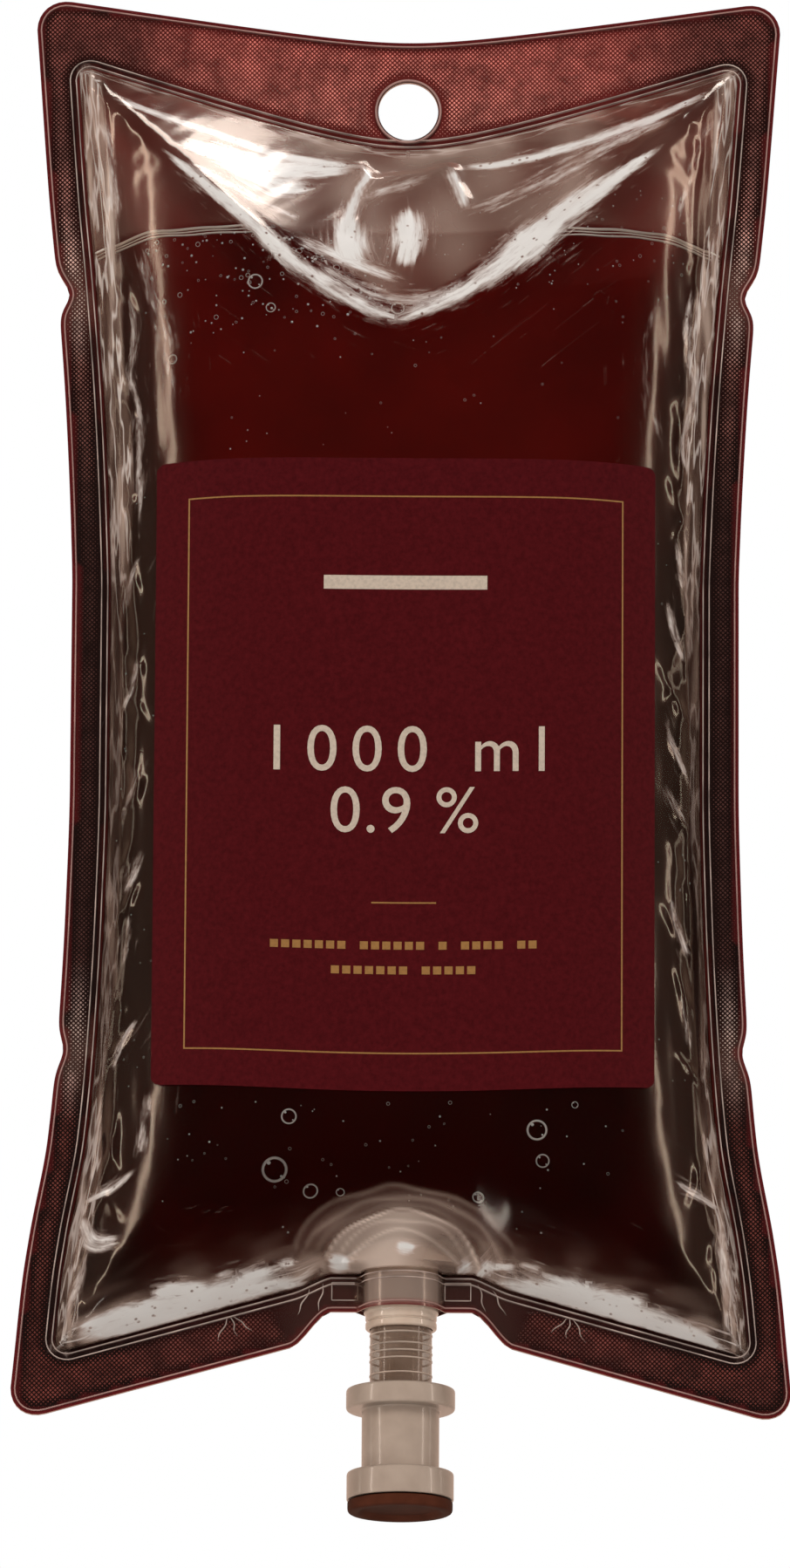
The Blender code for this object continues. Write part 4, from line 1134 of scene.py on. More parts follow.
def wine_film_material():
    """The rear sheet, which reads as dark wine red through the clear front."""
    material, tree, output = new_material("wine_film_look")
    place = object_place(tree)
    # Darker low down and lighter towards the top seam: painted shade and light over the wine red.
    stops = (
        (-0.275, (0.105, 0.020, 0.018)),
        (-0.235, (0.200, 0.014, 0.010)),
        (-0.150, (0.160, 0.014, 0.011)),
        (-0.100, (0.190, 0.016, 0.014)),
        (-0.040, (0.240, 0.022, 0.019)),
        (0.020, (0.440, 0.052, 0.044)),
    )
    level = mapped(tree, noise(tree, place, 38.0, 4.0, 0.6), 0.25, 0.75, 0.72, 1.15)
    mottled = scaled_colour(tree, height_tint(tree, place, stops), level)
    bump = grain_bump(tree, place, 700.0, 0.15)
    film = plastic(tree, mottled, 0.26, Specular_IOR_Level=0.35, Normal=bump)
    feed(tree, output.inputs["Surface"], film)
    return material


clear_film = clear_film_material()
wine_film = wine_film_material()
front_sheet.data.materials.append(clear_film)
back_sheet.data.materials.append(wine_film)
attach(front_sheet, "root")
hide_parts("front_film")
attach(back_sheet, "root")
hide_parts("back_film")

# Knurl of the welded border
# The heated jaws press a fine diamond knurl into the border of both sheets. It stops short
# of the outer edge, of the pouch, of the hanger hole and of the smooth weld at the port.
knurl_pitch = 0.0010
knurl_width = 0.00062
knurl_height = 0.00017
lattice_width = 0.180
lattice_height = 0.320
lattice_middle = -0.130
cast_from = 0.06
cast_reach = 0.2
full_stud_depth = 0.0016
smallest_stud = 0.30


def knurl_tree():
    """Diamond studs on a staggered lattice, dropped on a sheet where it is marked as welded."""
    tree = bpy.data.node_groups.new("diamond_knurl", "GeometryNodeTree")
    for name, kind, value in (
        ("Sheet", "Object", None),
        ("Pitch", "Float", knurl_pitch),
        ("Stud Width", "Float", knurl_width),
        ("Stud Height", "Float", knurl_height),
        ("Side", "Float", -1.0),
        ("Material", "Material", None),
    ):
        made = tree.interface.new_socket(name=name, in_out="INPUT", socket_type="NodeSocket" + kind)
        if value is not None:
            made.default_value = value
    tree.interface.new_socket(name="Geometry", in_out="OUTPUT", socket_type="NodeSocketGeometry")
    given = tree.nodes.new("NodeGroupInput").outputs
    sheet = add_node(tree, "GeometryNodeObjectInfo", transform_space="RELATIVE", Object=given["Sheet"])
    joined = tree.nodes.new("GeometryNodeJoinGeometry")
    for shift in (0.0, 0.5):
        grid = add_node(
            tree,
            "GeometryNodeMeshGrid",
            lattice_width,
            lattice_height,
            round(lattice_width / knurl_pitch) + 1,
            round(lattice_height / knurl_pitch) + 1,
        )
        stand = add_node(tree, "GeometryNodeTransform", Rotation=(math.pi / 2.0, 0.0, 0.0))
        offset = shift * knurl_pitch
        stand.inputs["Translation"].default_value = (offset, 0.0, lattice_middle + offset)
        feed(tree, stand.inputs["Geometry"], grid.outputs["Mesh"])
        tree.links.new(stand.outputs[0], joined.inputs[0])
    out = add_node(tree, "ShaderNodeCombineXYZ", Y=calc(tree, "MULTIPLY", given["Side"], cast_from))
    back = add_node(tree, "ShaderNodeCombineXYZ", Y=calc(tree, "MULTIPLY", given["Side"], -1.0))
    points = add_node(tree, "GeometryNodeSetPosition", joined.outputs[0], Offset=out.outputs[0])

    def stored(name, kind="FLOAT"):
        node = add_node(tree, "GeometryNodeInputNamedAttribute", data_type=kind, Name=name)
        return node.outputs["Attribute"]

    def stores(geometry, name, kind, value):
        node = add_node(tree, "GeometryNodeStoreNamedAttribute", data_type=kind, Name=name)
        feed(tree, node.inputs["Geometry"], geometry)
        feed(tree, node.inputs["Value"], value)
        return node.outputs[0]

    drop = add_node(tree, "GeometryNodeRaycast", data_type="FLOAT", Ray_Length=cast_reach)
    feed(tree, drop.inputs["Target Geometry"], sheet.outputs["Geometry"])
    feed(tree, drop.inputs["Attribute"], stored("weld_depth"))
    feed(tree, drop.inputs["Ray Direction"], back.outputs[0])
    deep = add_node(tree, "FunctionNodeCompare", operation="GREATER_THAN", data_type="FLOAT")
    feed(tree, deep.inputs["A"], drop.outputs["Attribute"])
    feed(tree, deep.inputs["B"], 0.0)
    off_weld = add_node(
        tree, "FunctionNodeBooleanMath", drop.outputs["Is Hit"], deep.outputs[0], operation="NAND"
    )
    to_sheet = drop.outputs["Hit Position"]
    lean = add_node(tree, "FunctionNodeAlignRotationToVector", axis="Z", Vector=drop.outputs["Hit Normal"])
    points = stores(points.outputs[0], "swell", "FLOAT", drop.outputs["Attribute"])
    points = stores(points, "off_weld", "BOOLEAN", off_weld.outputs[0])
    points = stores(points, "lean", "QUATERNION", lean.outputs[0])
    points = add_node(tree, "GeometryNodeSetPosition", points, Position=to_sheet).outputs[0]
    points = add_node(tree, "GeometryNodeDeleteGeometry", points, stored("off_weld", "BOOLEAN")).outputs[0]
    half_width = calc(tree, "MULTIPLY", given["Stud Width"], 0.5)
    stud = add_node(tree, "GeometryNodeMeshCone", fill_type="NONE", Vertices=4, Radius_Bottom=half_width)
    feed(tree, stud.inputs["Depth"], given["Stud Height"])
    place = add_node(tree, "GeometryNodeInstanceOnPoints", points, Instance=stud.outputs["Mesh"])
    feed(tree, place.inputs["Rotation"], stored("lean", "QUATERNION"))
    feed(tree, place.inputs["Scale"], mapped(tree, stored("swell"), 0.0, full_stud_depth, smallest_stud))
    real = add_node(tree, "GeometryNodeRealizeInstances", place.outputs[0])
    flat = add_node(tree, "GeometryNodeSetShadeSmooth", Geometry=real.outputs[0], Shade_Smooth=False)
    paint = add_node(tree, "GeometryNodeSetMaterial", Geometry=flat.outputs[0], Material=given["Material"])
    add_node(tree, "NodeGroupOutput", Geometry=paint.outputs[0])
    return tree


def grow(name, tree, values):
    """Runs a node tree with its inputs set by socket, and keeps the result as a plain mesh."""
    seed = bpy.data.objects.new(name, bpy.data.meshes.new(name))
    scene.collection.objects.link(seed)
    modifier = seed.modifiers.new(name, "NODES")
    modifier.node_group = tree
    for item in tree.interface.items_tree:
        if item.in_out == "INPUT" and item.name in values:
            modifier[item.identifier] = values[item.name]
    shown = seed.evaluated_get(bpy.context.evaluated_depsgraph_get())
    data = bpy.data.meshes.new_from_object(shown)
    bpy.data.objects.remove(seed, do_unlink=True)
    piece = bpy.data.objects.new(name, data)
    scene.collection.objects.link(piece)
    return piece


def knurl_material():
    """Raised film that catches the light in specks, over a colour with painted light and shade by height.
    """
    material, tree, output = new_material("knurl_look")
    place = object_place(tree)
    # Colours by height: pale bands at the notches, painted highlights; dark at the waist, painted shade;
    # red at the top seam.
    stops = (
        (-0.275, (0.25, 0.058, 0.044)),
        (-0.225, (0.26, 0.068, 0.052)),
        (-0.207, (1.00, 0.680, 0.580)),
        (-0.190, (0.12, 0.046, 0.038)),
        (-0.090, (0.10, 0.038, 0.031)),
        (-0.058, (0.45, 0.170, 0.135)),
        (-0.041, (1.00, 0.720, 0.620)),
        (-0.022, (1.00, 0.420, 0.345)),
        (0.020, (1.00, 0.255, 0.205)),
    )
    level = mapped(tree, noise(tree, place, 160.0, 5.0, 0.75), 0.35, 0.68, 0.35, 1.35)
    split = add_node(tree, "ShaderNodeSeparateXYZ", place).outputs
    # Darker in the upper corners: painted shade.
    sideways = mapped(tree, calc(tree, "ABSOLUTE", split["X"]), 0.030, 0.072, 0.0, 0.62, smooth=True)
    corner_shade = calc(tree, "MULTIPLY", sideways, mapped(tree, split["Z"], -0.030, -0.008, smooth=True))
    level = calc(tree, "MULTIPLY", level, calc(tree, "SUBTRACT", 1.0, corner_shade))
    mottled = scaled_colour(tree, height_tint(tree, place, stops), level)
    feed(tree, output.inputs["Surface"], plastic(tree, mottled, 0.28, Specular_IOR_Level=0.5))
    return material


knurl_nodes = knurl_tree()
knurl_look = knurl_material()
for name, sheet, side, slot in (
    ("front_knurl", front_sheet, -1.0, "clear_film"),
    ("back_knurl", back_sheet, 1.0, "wine_film"),
):
    knurl = grow(name, knurl_nodes, {"Sheet": sheet, "Side": side, "Material": knurl_look})
    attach(knurl, "root")

# Weld lines and rims
# The jaws leave two fine ridges round the pouch, and the trimmed outer edge and the hole
# each have a thin bead where the film melted and flowed back.
bead_radius = 0.00017
weld_ridge_radius = 0.00014
edge_bead_inset = 0.0009
first_ridge_offset = 0.0006
second_ridge_offset = 0.0019
hole_bead_offset = 0.0005


def moved_loop(loop, offset):
    """A closed loop moved outwards by an offset, or inwards if the offset is negative."""
    ahead = np.roll(loop, -2, axis=0)
    behind = np.roll(loop, 2, axis=0)
    along = ahead - behind
    along = along / np.maximum(np.hypot(*along.T), 1e-9)[:, None]
    outward = np.stack([-along[:, 1], along[:, 0]], axis=1)
    return loop + offset * outward


def solid_data(name, verts, faces, sharp=None):
    """Finished mesh data from points and faces, with its faces turned outwards."""
    raw = bpy.data.meshes.new(name)
    raw.from_pydata(verts, [], faces)
    mesh = bmesh.new()
    mesh.from_mesh(raw)
    bpy.data.meshes.remove(raw)
    bmesh.ops.recalc_face_normals(mesh, faces=mesh.faces[:])
    return smooth_data(name, mesh, sharp)


def unit(vectors, least):
    return vectors / np.maximum(np.linalg.norm(vectors, axis=1), least)[:, None]


def tube(name, points, radius, closed, sides=6):
    """A round bead along points in space. radius is one number or one for each point."""
    points = np.asarray(points, dtype=float)
    radii = np.broadcast_to(radius, len(points))
    if closed:
        along = np.roll(points, -1, axis=0) - np.roll(points, 1, axis=0)
    else:
        along = np.gradient(points, axis=0)
    along = unit(along, 1e-12)
    out = unit(np.cross(along, (0.0, 1.0, 0.0)), 1e-12)
    front = np.cross(out, along)
    angles = 2.0 * math.pi * np.arange(sides) / sides
    rings = points[:, None, :] + radii[:, None, None] * (
        np.cos(angles)[None, :, None] * out[:, None, :]
        + np.sin(angles)[None, :, None] * front[:, None, :]
    )
    faces = []
    count = len(points)
    for index in range(count if closed else count - 1):
        here = index * sides
        ahead = (index + 1) % count * sides
        for side in range(sides):
            turn = (side + 1) % sides
            faces.append((here + side, here + turn, ahead + turn, ahead + side))
    if not closed:
        faces.append(tuple(range(sides))[::-1])
        faces.append(tuple((count - 1) * sides + side for side in range(sides)))
    return solid_data(name, rings.reshape(-1, 3).tolist(), faces)


def place_piece(name, meshes, material):
    """Joins meshes into one object, paints it and makes it ride with the bag."""
    joined = bmesh.new()
    for data in meshes:
        joined.from_mesh(data)
    data = bpy.data.meshes.new(name)
    joined.to_mesh(data)
    joined.free()
    piece = bpy.data.objects.new(name, data)
    scene.collection.objects.link(piece)
    data.materials.append(material)
    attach(piece, "root")
    return piece


def border_path(loop, side, lift):
    x, z = loop.T
    return np.stack([x, border_y(x, z, side) + side * lift, z], axis=1)


def clouded_plastic(name, colour, roughness, level, darkest, scale=120.0, stops=(0.25, 0.75), **settings):
    """An opaque surface whose colour is a little darker in soft clouds."""
    material, tree, output = new_material(name)
    cloud = noise(tree, object_place(tree), scale, 2.0)
    tint = two_colours(tree, cloud, tuple(darkest * part for part in colour), colour, *stops)
    paint = plastic(tree, tint, roughness, Specular_IOR_Level=level, **settings)
    feed(tree, output.inputs["Surface"], paint)
    return material


bead_look = clouded_plastic("edge_bead_look", (0.62, 0.36, 0.31), 0.3, 0.5, 0.6)
# The ridges are pale, broken by dark clouds into short bright runs: painted highlights on real ridges.
ridge_look = clouded_plastic("weld_ridge_look", (0.95, 0.72, 0.62), 0.18, 0.9, 0.25)
hole_loop = ring_points(hole_radius + hole_bead_offset, hole_steps)
edge_beads = []
weld_ridges = []
for side in (-1, 1):
    inset = border_path(moved_loop(sheet_rim, -edge_bead_inset), side, 0.3 * bead_radius)
    edge_beads.append(tube("edge_bead", inset, bead_radius, True))
    rim = border_path(hole_loop, side, 0.4 * bead_radius)
    edge_beads.append(tube("hole_bead", rim, 1.5 * bead_radius, True))
    for offset in (first_ridge_offset, second_ridge_offset):
        path = border_path(moved_loop(pouch_rim, offset), side, 0.3 * weld_ridge_radius)
        weld_ridges.append(tube("weld_ridge", path, weld_ridge_radius, True))
place_piece("edge_beads", edge_beads, bead_look)
place_piece("weld_ridges", weld_ridges, ridge_look)

# Marks at the port weld
# The jaws press a small rectangle beside the port on each side, and the seal puckers into
# short bright pulls where the knurl begins.
flat_near, flat_far = 0.0093, 0.0148
flat_top, flat_bottom = -0.2598, -0.2636
flat_line_radius = 0.00012
pull_radius = 0.00014
pull_tip_radius = 0.00002
pull_wave = 0.00022
seal_pulls = (
    ((0.0165, -0.2600), (0.0178, -0.2660)),
    ((0.0195, -0.2612), (0.0222, -0.2668)),
    ((0.0362, -0.2672), (0.0350, -0.2716)),
    ((0.0356, -0.2672), (0.0318, -0.2704)),
    ((0.0368, -0.2674), (0.0392, -0.2726)),
)


def line_points(start, end, shares):
    return np.array(start) + (np.array(end) - np.array(start)) * shares[:, None]


port_marks = []
for side in (-1.0, 1.0):
    corners = ((flat_near, flat_top), (flat_far, flat_top))
    corners += ((flat_far, flat_bottom), (flat_near, flat_bottom))
    shares = np.linspace(0.0, 1.0, 12, endpoint=False)
    spans = zip(corners, corners[1:] + corners[:1], strict=True)
    path = np.vstack([line_points(start, end, shares) for start, end in spans]) * (side, 1.0)
    port_marks.append(tube("port_flat", border_path(path, -1, 0.0), flat_line_radius, True))
    for start, end in seal_pulls:
        steps = np.linspace(0.0, 1.0, 14)
        path = line_points(start, end, steps) * (side, 1.0)
        path[:, 0] += pull_wave * np.sin(9.0 * steps + 300.0 * start[0])
        radii = pull_radius * np.sin(math.pi * steps) + pull_tip_radius
        port_marks.append(tube("seal_pull", border_path(path, -1, 0.0), radii, False))
# The pale ridge colour makes these marks bright: painted highlights.
place_piece("port_weld_marks", port_marks, ridge_look)

# Saline
# About a litre of clear salt water. It fills the pouch up to a level line a little below the
# top seal, takes the colour of the film behind it, and stands round the port's boat.
liquid_inset = 0.0005
liquid_side_gap = 0.0006
liquid_floor_gap = 0.0006
liquid_edge_depth = 0.00005
liquid_sharp_angle = 40
level_bulge = 0.0008
meniscus_drop = 0.0016
boat_lift = 0.0012


def liquid_level(x):
    """The level line, which dips where it climbs the tight film beside the seams."""
    bulge = bell(np.abs(x) - 0.034, 0.016)
    return liquid_height - level_bulge * bulge - meniscus_drop * smooth_step((np.abs(x) - 0.054) / 0.011)


def liquid_floor(x):
    """The lowest height of the liquid, lifted clear of the port's boat."""
    over_boat = 1.0 - smooth_step((np.abs(x) - boat_half_width) / 0.004)
    return pouch_bottom(x) + liquid_floor_gap + (boat_top + boat_lift - pouch_bottom_height) * over_boat


def saline_data():
    """The liquid as a closed mesh: a front and a back face, joined round their rims."""
    columns = even_ends(120, 0.5)
    mesh = bmesh.new()
    grids = []
    for face, side in ((front_face, -1.0), (back_face, 1.0)):
        grid = np.empty((220, 120), dtype=object)
        for row, share in enumerate(0.5 * (even_ends(220, 0.3) + 1.0)):
            side_height = liquid_height + (pouch_bottom_height - liquid_height) * share
            xs = columns * (pouch_half_width(side_height) - liquid_side_gap)
            zs = liquid_level(xs) + (liquid_floor(xs) - liquid_level(xs)) * share
            depth = np.maximum(side * face(xs, zs) - film_thickness - liquid_inset, liquid_edge_depth)
            depth = np.where(np.abs(columns) > 0.9999, liquid_edge_depth, depth)
            grid[row] = [mesh.verts.new(point) for point in zip(xs, side * depth, zs, strict=True)]
        grids.append(grid)
        for upper, lower in zip(grid[:-1], grid[1:], strict=True):
            strip(mesh, upper, lower)
    for rim in (np.s_[0, :], np.s_[-1, :], np.s_[:, 0], np.s_[:, -1]):
        strip(mesh, grids[1][rim], grids[0][rim])
    bmesh.ops.recalc_face_normals(mesh, faces=mesh.faces[:])
    return smooth_data("saline", mesh, liquid_sharp_angle)


def saline_material():
    """Each face the eye passes takes some of the light, more low down: painted shade."""
    material, tree, output = new_material("saline_look")
    height = add_node(tree, "ShaderNodeSeparateXYZ", object_place(tree)).outputs["Z"]
    # Darker towards the bottom: painted shade.
    depth = mapped(tree, height, -0.200, -0.040)
    tint = two_colours(tree, depth, (0.74, 0.50, 0.45), (0.94, 0.70, 0.66))
    feed(tree, output.inputs["Surface"], add_node(tree, "ShaderNodeBsdfTransparent", tint).outputs[0])
    return material


saline_body = place_piece("saline_body", [saline_data()], saline_material())
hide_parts("saline")

# Level line of the liquid
# Where the liquid meets the front film it climbs a little, and the curved edge catches the
# light, drawn as a pale double line across the bag: a painted highlight.
level_spans = ((-0.0675, -0.0285), (0.0300, 0.0675))
level_strands = ((0.0003, 0.00034), (-0.0004, 0.00018), (-0.0011, 0.00026))
level_wave = 0.00022
level_inset = 0.0002
level_lines = []
level_wander = waves(41, 5, 0.006, 0.030)
for low_x, high_x in level_spans:
    xs = np.linspace(low_x, high_x, 80)
    taper = 0.15 + 0.85 * smooth_step((np.abs(xs) - 0.0275) / 0.0120)
    for lift, radius in level_strands:
        zs = liquid_level(xs) + lift + level_wave * level_wander(xs, 3.0 * lift)
        ys = front_face(xs, zs) + film_thickness + level_inset
        line = np.stack([xs, np.minimum(ys, -0.0001), zs], axis=1)
        level_lines.append(tube("level_line", line, radius * taper, False))
# Pale colour for the level line: a painted highlight.
level_look = clouded_plastic("level_line_look", (1.0, 0.90, 0.79), 0.2, 1.0, 0.8)
place_piece("level_line", level_lines, level_look)

# Label
# A paper label with rounded corners, stuck flat on the front film. It is printed dark wine
# red with a thin gold frame, and the words of the print are left as plain bars and numbers.
label_top_bow = 0.0006
label_bottom_bow = 0.0028
label_corner_radius = 0.0018
label_corner_steps = 6
label_rows = 120
label_columns = 97
label_thickness = 0.0002
label_lift = 0.0004
label_sharp_angle = 40


def label_point(x, down, lift):
    """A point of the label at x and a distance below its top edge."""
    share = down / label_height
    bow = label_top_bow * (1.0 - share) + label_bottom_bow * share
    z = label_top - down - bow * (1.0 - (x / label_half_width) ** 2)
    tilt = film_tilt(x, z)
    y = -(sheet_gap / 2.0 + pouch_depth(x, z) + film_thickness * tilt)
    return np.stack([x, y - lift * tilt, z], axis=-1)


def label_data():
    """The label as a closed mesh: an inner and an outer face, joined round their rims."""
    angles = 0.5 * math.pi * np.arange(label_corner_steps) / label_corner_steps
    corner_downs = label_corner_radius * (1.0 - np.cos(angles))
    middle_downs = np.linspace(label_corner_radius, label_height - label_corner_radius, label_rows)
    downs = np.concatenate([corner_downs, middle_downs, label_height - corner_downs[::-1]])
    mesh = bmesh.new()
    rims = []
    for lift in (label_lift, label_lift + label_thickness):
        grid = np.empty((len(downs), label_columns), dtype=object)
        for row, down in enumerate(downs):
            from_end = max(label_corner_radius - min(down, label_height - down), 0.0)
            pull_in = label_corner_radius - math.sqrt(label_corner_radius**2 - from_end**2)
            xs = np.linspace(-1.0, 1.0, label_columns) * (label_half_width - pull_in)
            points = label_point(xs, np.full(xs.shape, down), lift)
            grid[row] = [mesh.verts.new(point) for point in points]
        for upper, lower in zip(grid[:-1], grid[1:], strict=True):
            strip(mesh, upper, lower)
        rim = rim_of(grid)
        rims.append([*rim, rim[0]])
    strip(mesh, rims[1], rims[0])
    bmesh.ops.recalc_face_normals(mesh, faces=mesh.faces[:])
    return smooth_data("label", mesh, label_sharp_angle)


def label_material():
    """Uncoated paper, printed dark red, with a fine tooth and faint streaks in the ink."""
    material, tree, output = new_material("label_paper_look")
    place = object_place(tree)
    flecks = noise(tree, place, 900.0, 3.0, 0.7)
    ink = two_colours(tree, flecks, (0.070, 0.0028, 0.0046), (0.104, 0.0052, 0.0078), 0.32, 0.68)
    bump = grain_bump(tree, place, 1500.0, 0.25)
    paper = plastic(tree, ink, 0.75, Specular_IOR_Level=0.12, Normal=bump)
    feed(tree, output.inputs["Surface"], paper)
    return material


paper_label = place_piece("paper_label", [label_data()], label_material())
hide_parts("label")

# Print on the label
# Foil lines and ink, each a film of colour on the paper: a gold frame and rule, small gold
# bars for the fine print, a cream bar where a name would be, and the contents in numbers.
frame_half_width = 0.0467
frame_top_down = 0.0082
frame_bottom_down = 0.1288
frame_line = 0.00032
rule_down = 0.0962
rule_half_width = 0.0069
# Each line of fine print: how far down, its half width, and the letters in each of its words.
fine_print = ((0.1047, 0.0287, (7, 6, 1, 4, 2)), (0.1100, 0.0157, (7, 5)))
fine_print_height = 0.0017
name_bar_down = 0.0271
name_bar_half_width = 0.0175
name_bar_height = 0.0030
title_down = 0.0680
title_height = 0.0098
title_spacing = 1.36
subtitle_down = 0.0812
subtitle_spacing = 1.05
print_cell = 0.002
print_lift = label_lift + label_thickness + 0.00003


def printed_patch(name, low_x, high_x, top_down, bottom_down):
    """A rectangle of ink on the label, cut into cells so that it follows the curve."""
    across = max(2, int(abs(high_x - low_x) / print_cell) + 2)
    along = max(2, int(abs(bottom_down - top_down) / print_cell) + 2)
    xs, downs = np.meshgrid(np.linspace(low_x, high_x, across), np.linspace(top_down, bottom_down, along))
    points = label_point(xs, downs, print_lift)
    mesh = bmesh.new()
    rows = [[mesh.verts.new(point) for point in row] for row in points]
    for upper, lower in zip(rows[:-1], rows[1:], strict=True):
        strip(mesh, upper, lower)
    return smooth_data(name, mesh)


def printed_text(name, words, height, down, spacing):
    """Numbers set as a curve font, cut into cells, and laid on the label."""
    curve = bpy.data.curves.new(name, "FONT")
    curve.body = words
    curve.align_x = "CENTER"
    curve.size = 1.0
    curve.space_character = spacing
    curve.resolution_u = 6
    holder = bpy.data.objects.new(name, curve)
    scene.collection.objects.link(holder)
    shown = holder.evaluated_get(bpy.context.evaluated_depsgraph_get())
    mesh = bmesh.new()
    mesh.from_mesh(bpy.data.meshes.new_from_object(shown))
    bpy.data.objects.remove(holder, do_unlink=True)
    scale = height / max(vert.co.y for vert in mesh.verts)
    for vert in mesh.verts:
        vert.co *= scale
    reach = max(abs(vert.co.x) for vert in mesh.verts)
    for direction, limit in ((Vector((1.0, 0.0, 0.0)), reach), (Vector((0.0, 1.0, 0.0)), height)):
        for cut in np.arange(-limit, limit, print_cell):
            parts = mesh.verts[:] + mesh.edges[:] + mesh.faces[:]
            bmesh.ops.bisect_plane(mesh, geom=parts, plane_co=direction * cut, plane_no=direction)
    for vert in mesh.verts:
        vert.co = label_point(np.array(vert.co.x), np.array(down - vert.co.y), print_lift)
    bmesh.ops.recalc_face_normals(mesh, faces=mesh.faces[:])
    for face in mesh.faces:
        if face.normal.y > 0.0:
            face.normal_flip()
    return smooth_data(name, mesh)


gold_parts = []
for sign in (-1.0, 1.0):
    outer = sign * frame_half_width
    near, far = sorted((outer, outer - sign * frame_line))
    gold_parts.append(printed_patch("frame_side", near, far, frame_top_down, frame_bottom_down))
for name, half_width, top, bottom in (
    ("frame_top", frame_half_width, frame_top_down, frame_top_down + frame_line),
    ("frame_bottom", frame_half_width, frame_bottom_down - frame_line, frame_bottom_down),
    ("rule", rule_half_width, rule_down, rule_down + frame_line),
):
    gold_parts.append(printed_patch(name, -half_width, half_width, top, bottom))
for down, half_width, words in fine_print:
    letter = 2.0 * half_width / (sum(words) + len(words) - 1)
    start = -half_width
    for length in words:
        for index in range(length):
            low = start + (index + 0.12) * letter
            high = start + (index + 0.84) * letter
            gold_parts.append(printed_patch("fine_print", low, high, down, down + fine_print_height))
        start += (length + 1) * letter
ink = {"scale": 1400.0, "stops": (0.25, 0.60)}
gold_look = clouded_plastic("gold_print_look", (0.42, 0.20, 0.055), 0.5, 0.5, 0.82, **ink)
cream_look = clouded_plastic("cream_print_look", (0.72, 0.58, 0.46), 0.6, 0.5, 0.82, **ink)
place_piece("gold_print", gold_parts, gold_look)
name_bar_top = name_bar_down - 0.5 * name_bar_height
name_bar_bottom = name_bar_down + 0.5 * name_bar_height
cream_parts = [
    printed_patch("name_bar", -name_bar_half_width, name_bar_half_width, name_bar_top, name_bar_bottom),
    printed_text("title", "1000 ml", title_height, title_down, title_spacing),
    printed_text("subtitle", "0.9 %", title_height, subtitle_down, subtitle_spacing),
]
place_piece("cream_print", cream_parts, cream_look)

# Bubbles
# Air bubbles that cling to the inside of the front film: a dozen large ones, and a scatter
# of tiny ones along the level line and down the left side of the slack facet. Their bright rims
# are pale rings and their glints pale dots: painted highlights.
# The large ones as (x, z, radius).
bubble_places = (
    (-0.0328, -0.0445, 0.0017),
    (-0.0294, -0.0504, 0.0011),
    (-0.0507, -0.0603, 0.0011),
    (-0.0020, -0.0502, 0.0015),
    (-0.0270, -0.2395, 0.0028),
    (-0.0241, -0.2283, 0.0017),
    (-0.0193, -0.2435, 0.0017),
    (-0.0131, -0.2435, 0.00095),
    (0.0286, -0.2309, 0.00225),
    (0.0298, -0.2374, 0.0015),
    (0.0161, -0.2444, 0.0013),
    (0.0367, -0.2252, 0.00075),
)
bubble_flatness = 0.5
bubble_count = 460
speck_share = 0.62
bubble_rim_share = 0.11
glint_depth = 0.75 * film_thickness
speck_depth = 0.8 * film_thickness


def facing(normal):
    """The turn that lays a thing made round Z against the film."""
    return Vector((0.0, 0.0, 1.0)).rotation_difference(normal).to_matrix()


def film_point(x, z):
    return Vector((x, float(front_face(x, z)), z))


def ball(place, normal, radius, rings, segments):
    """A small bead flattened against the film, closed at both poles."""
    mesh = bmesh.new()
    bmesh.ops.create_uvsphere(mesh, u_segments=segments, v_segments=rings, radius=radius)
    flat = Matrix.Diagonal((1.0, 1.0, bubble_flatness, 1.0))
    mesh.transform(Matrix.Translation(place) @ facing(normal).to_4x4() @ flat)
    return smooth_data("bead", mesh)


def film_normal(x, z):
    """The outward direction of the front film."""
    step = 0.0004
    across = (front_face(x + step, z) - front_face(x - step, z)) / (2.0 * step)
    down = (front_face(x, z + step) - front_face(x, z - step)) / (2.0 * step)
    return Vector((float(across), -1.0, float(down))).normalized()


def bubble_at(x, z, radius, steps=12, sides=5):
    """The bright rim of a bubble clinging inside the film: a pale ring, a painted highlight."""
    normal = film_normal(x, z)
    centre = film_point(x, z) - (film_thickness + bubble_rim_share * radius) * normal
    circle = ring_points((1.0 - bubble_rim_share) * radius, steps)
    points = [centre + facing(normal) @ Vector((across, up, 0.0)) for across, up in circle]
    return tube("bubble", points, bubble_rim_share * radius, True, sides)


# Pale rings for the bubbles' bright rims: painted highlights.
bubble_look = clouded_plastic("bubble_look", (1.0, 0.90, 0.83), 0.12, 1.0, 0.85)
large_bubbles = [bubble_at(x, z, radius, 36, 8) for x, z, radius in bubble_places]
place_piece("large_bubbles", large_bubbles, bubble_look)

# Pale dots for the bubbles' glints and the tiniest bubbles: painted highlights.
glint_look = clouded_plastic("bubble_glint_look", (1.0, 0.97, 0.93), 0.1, 1.0, 0.95)
glints = []
for x, z, radius in bubble_places:
    normal = film_normal(x, z)
    for shift_x, shift_z, size in ((-0.45, 0.50, 0.16), (0.50, -0.45, 0.10)):
        place = film_point(x + shift_x * radius, z + shift_z * radius)
        glints.append(ball(place - glint_depth * normal, normal, size * radius, 6, 10))

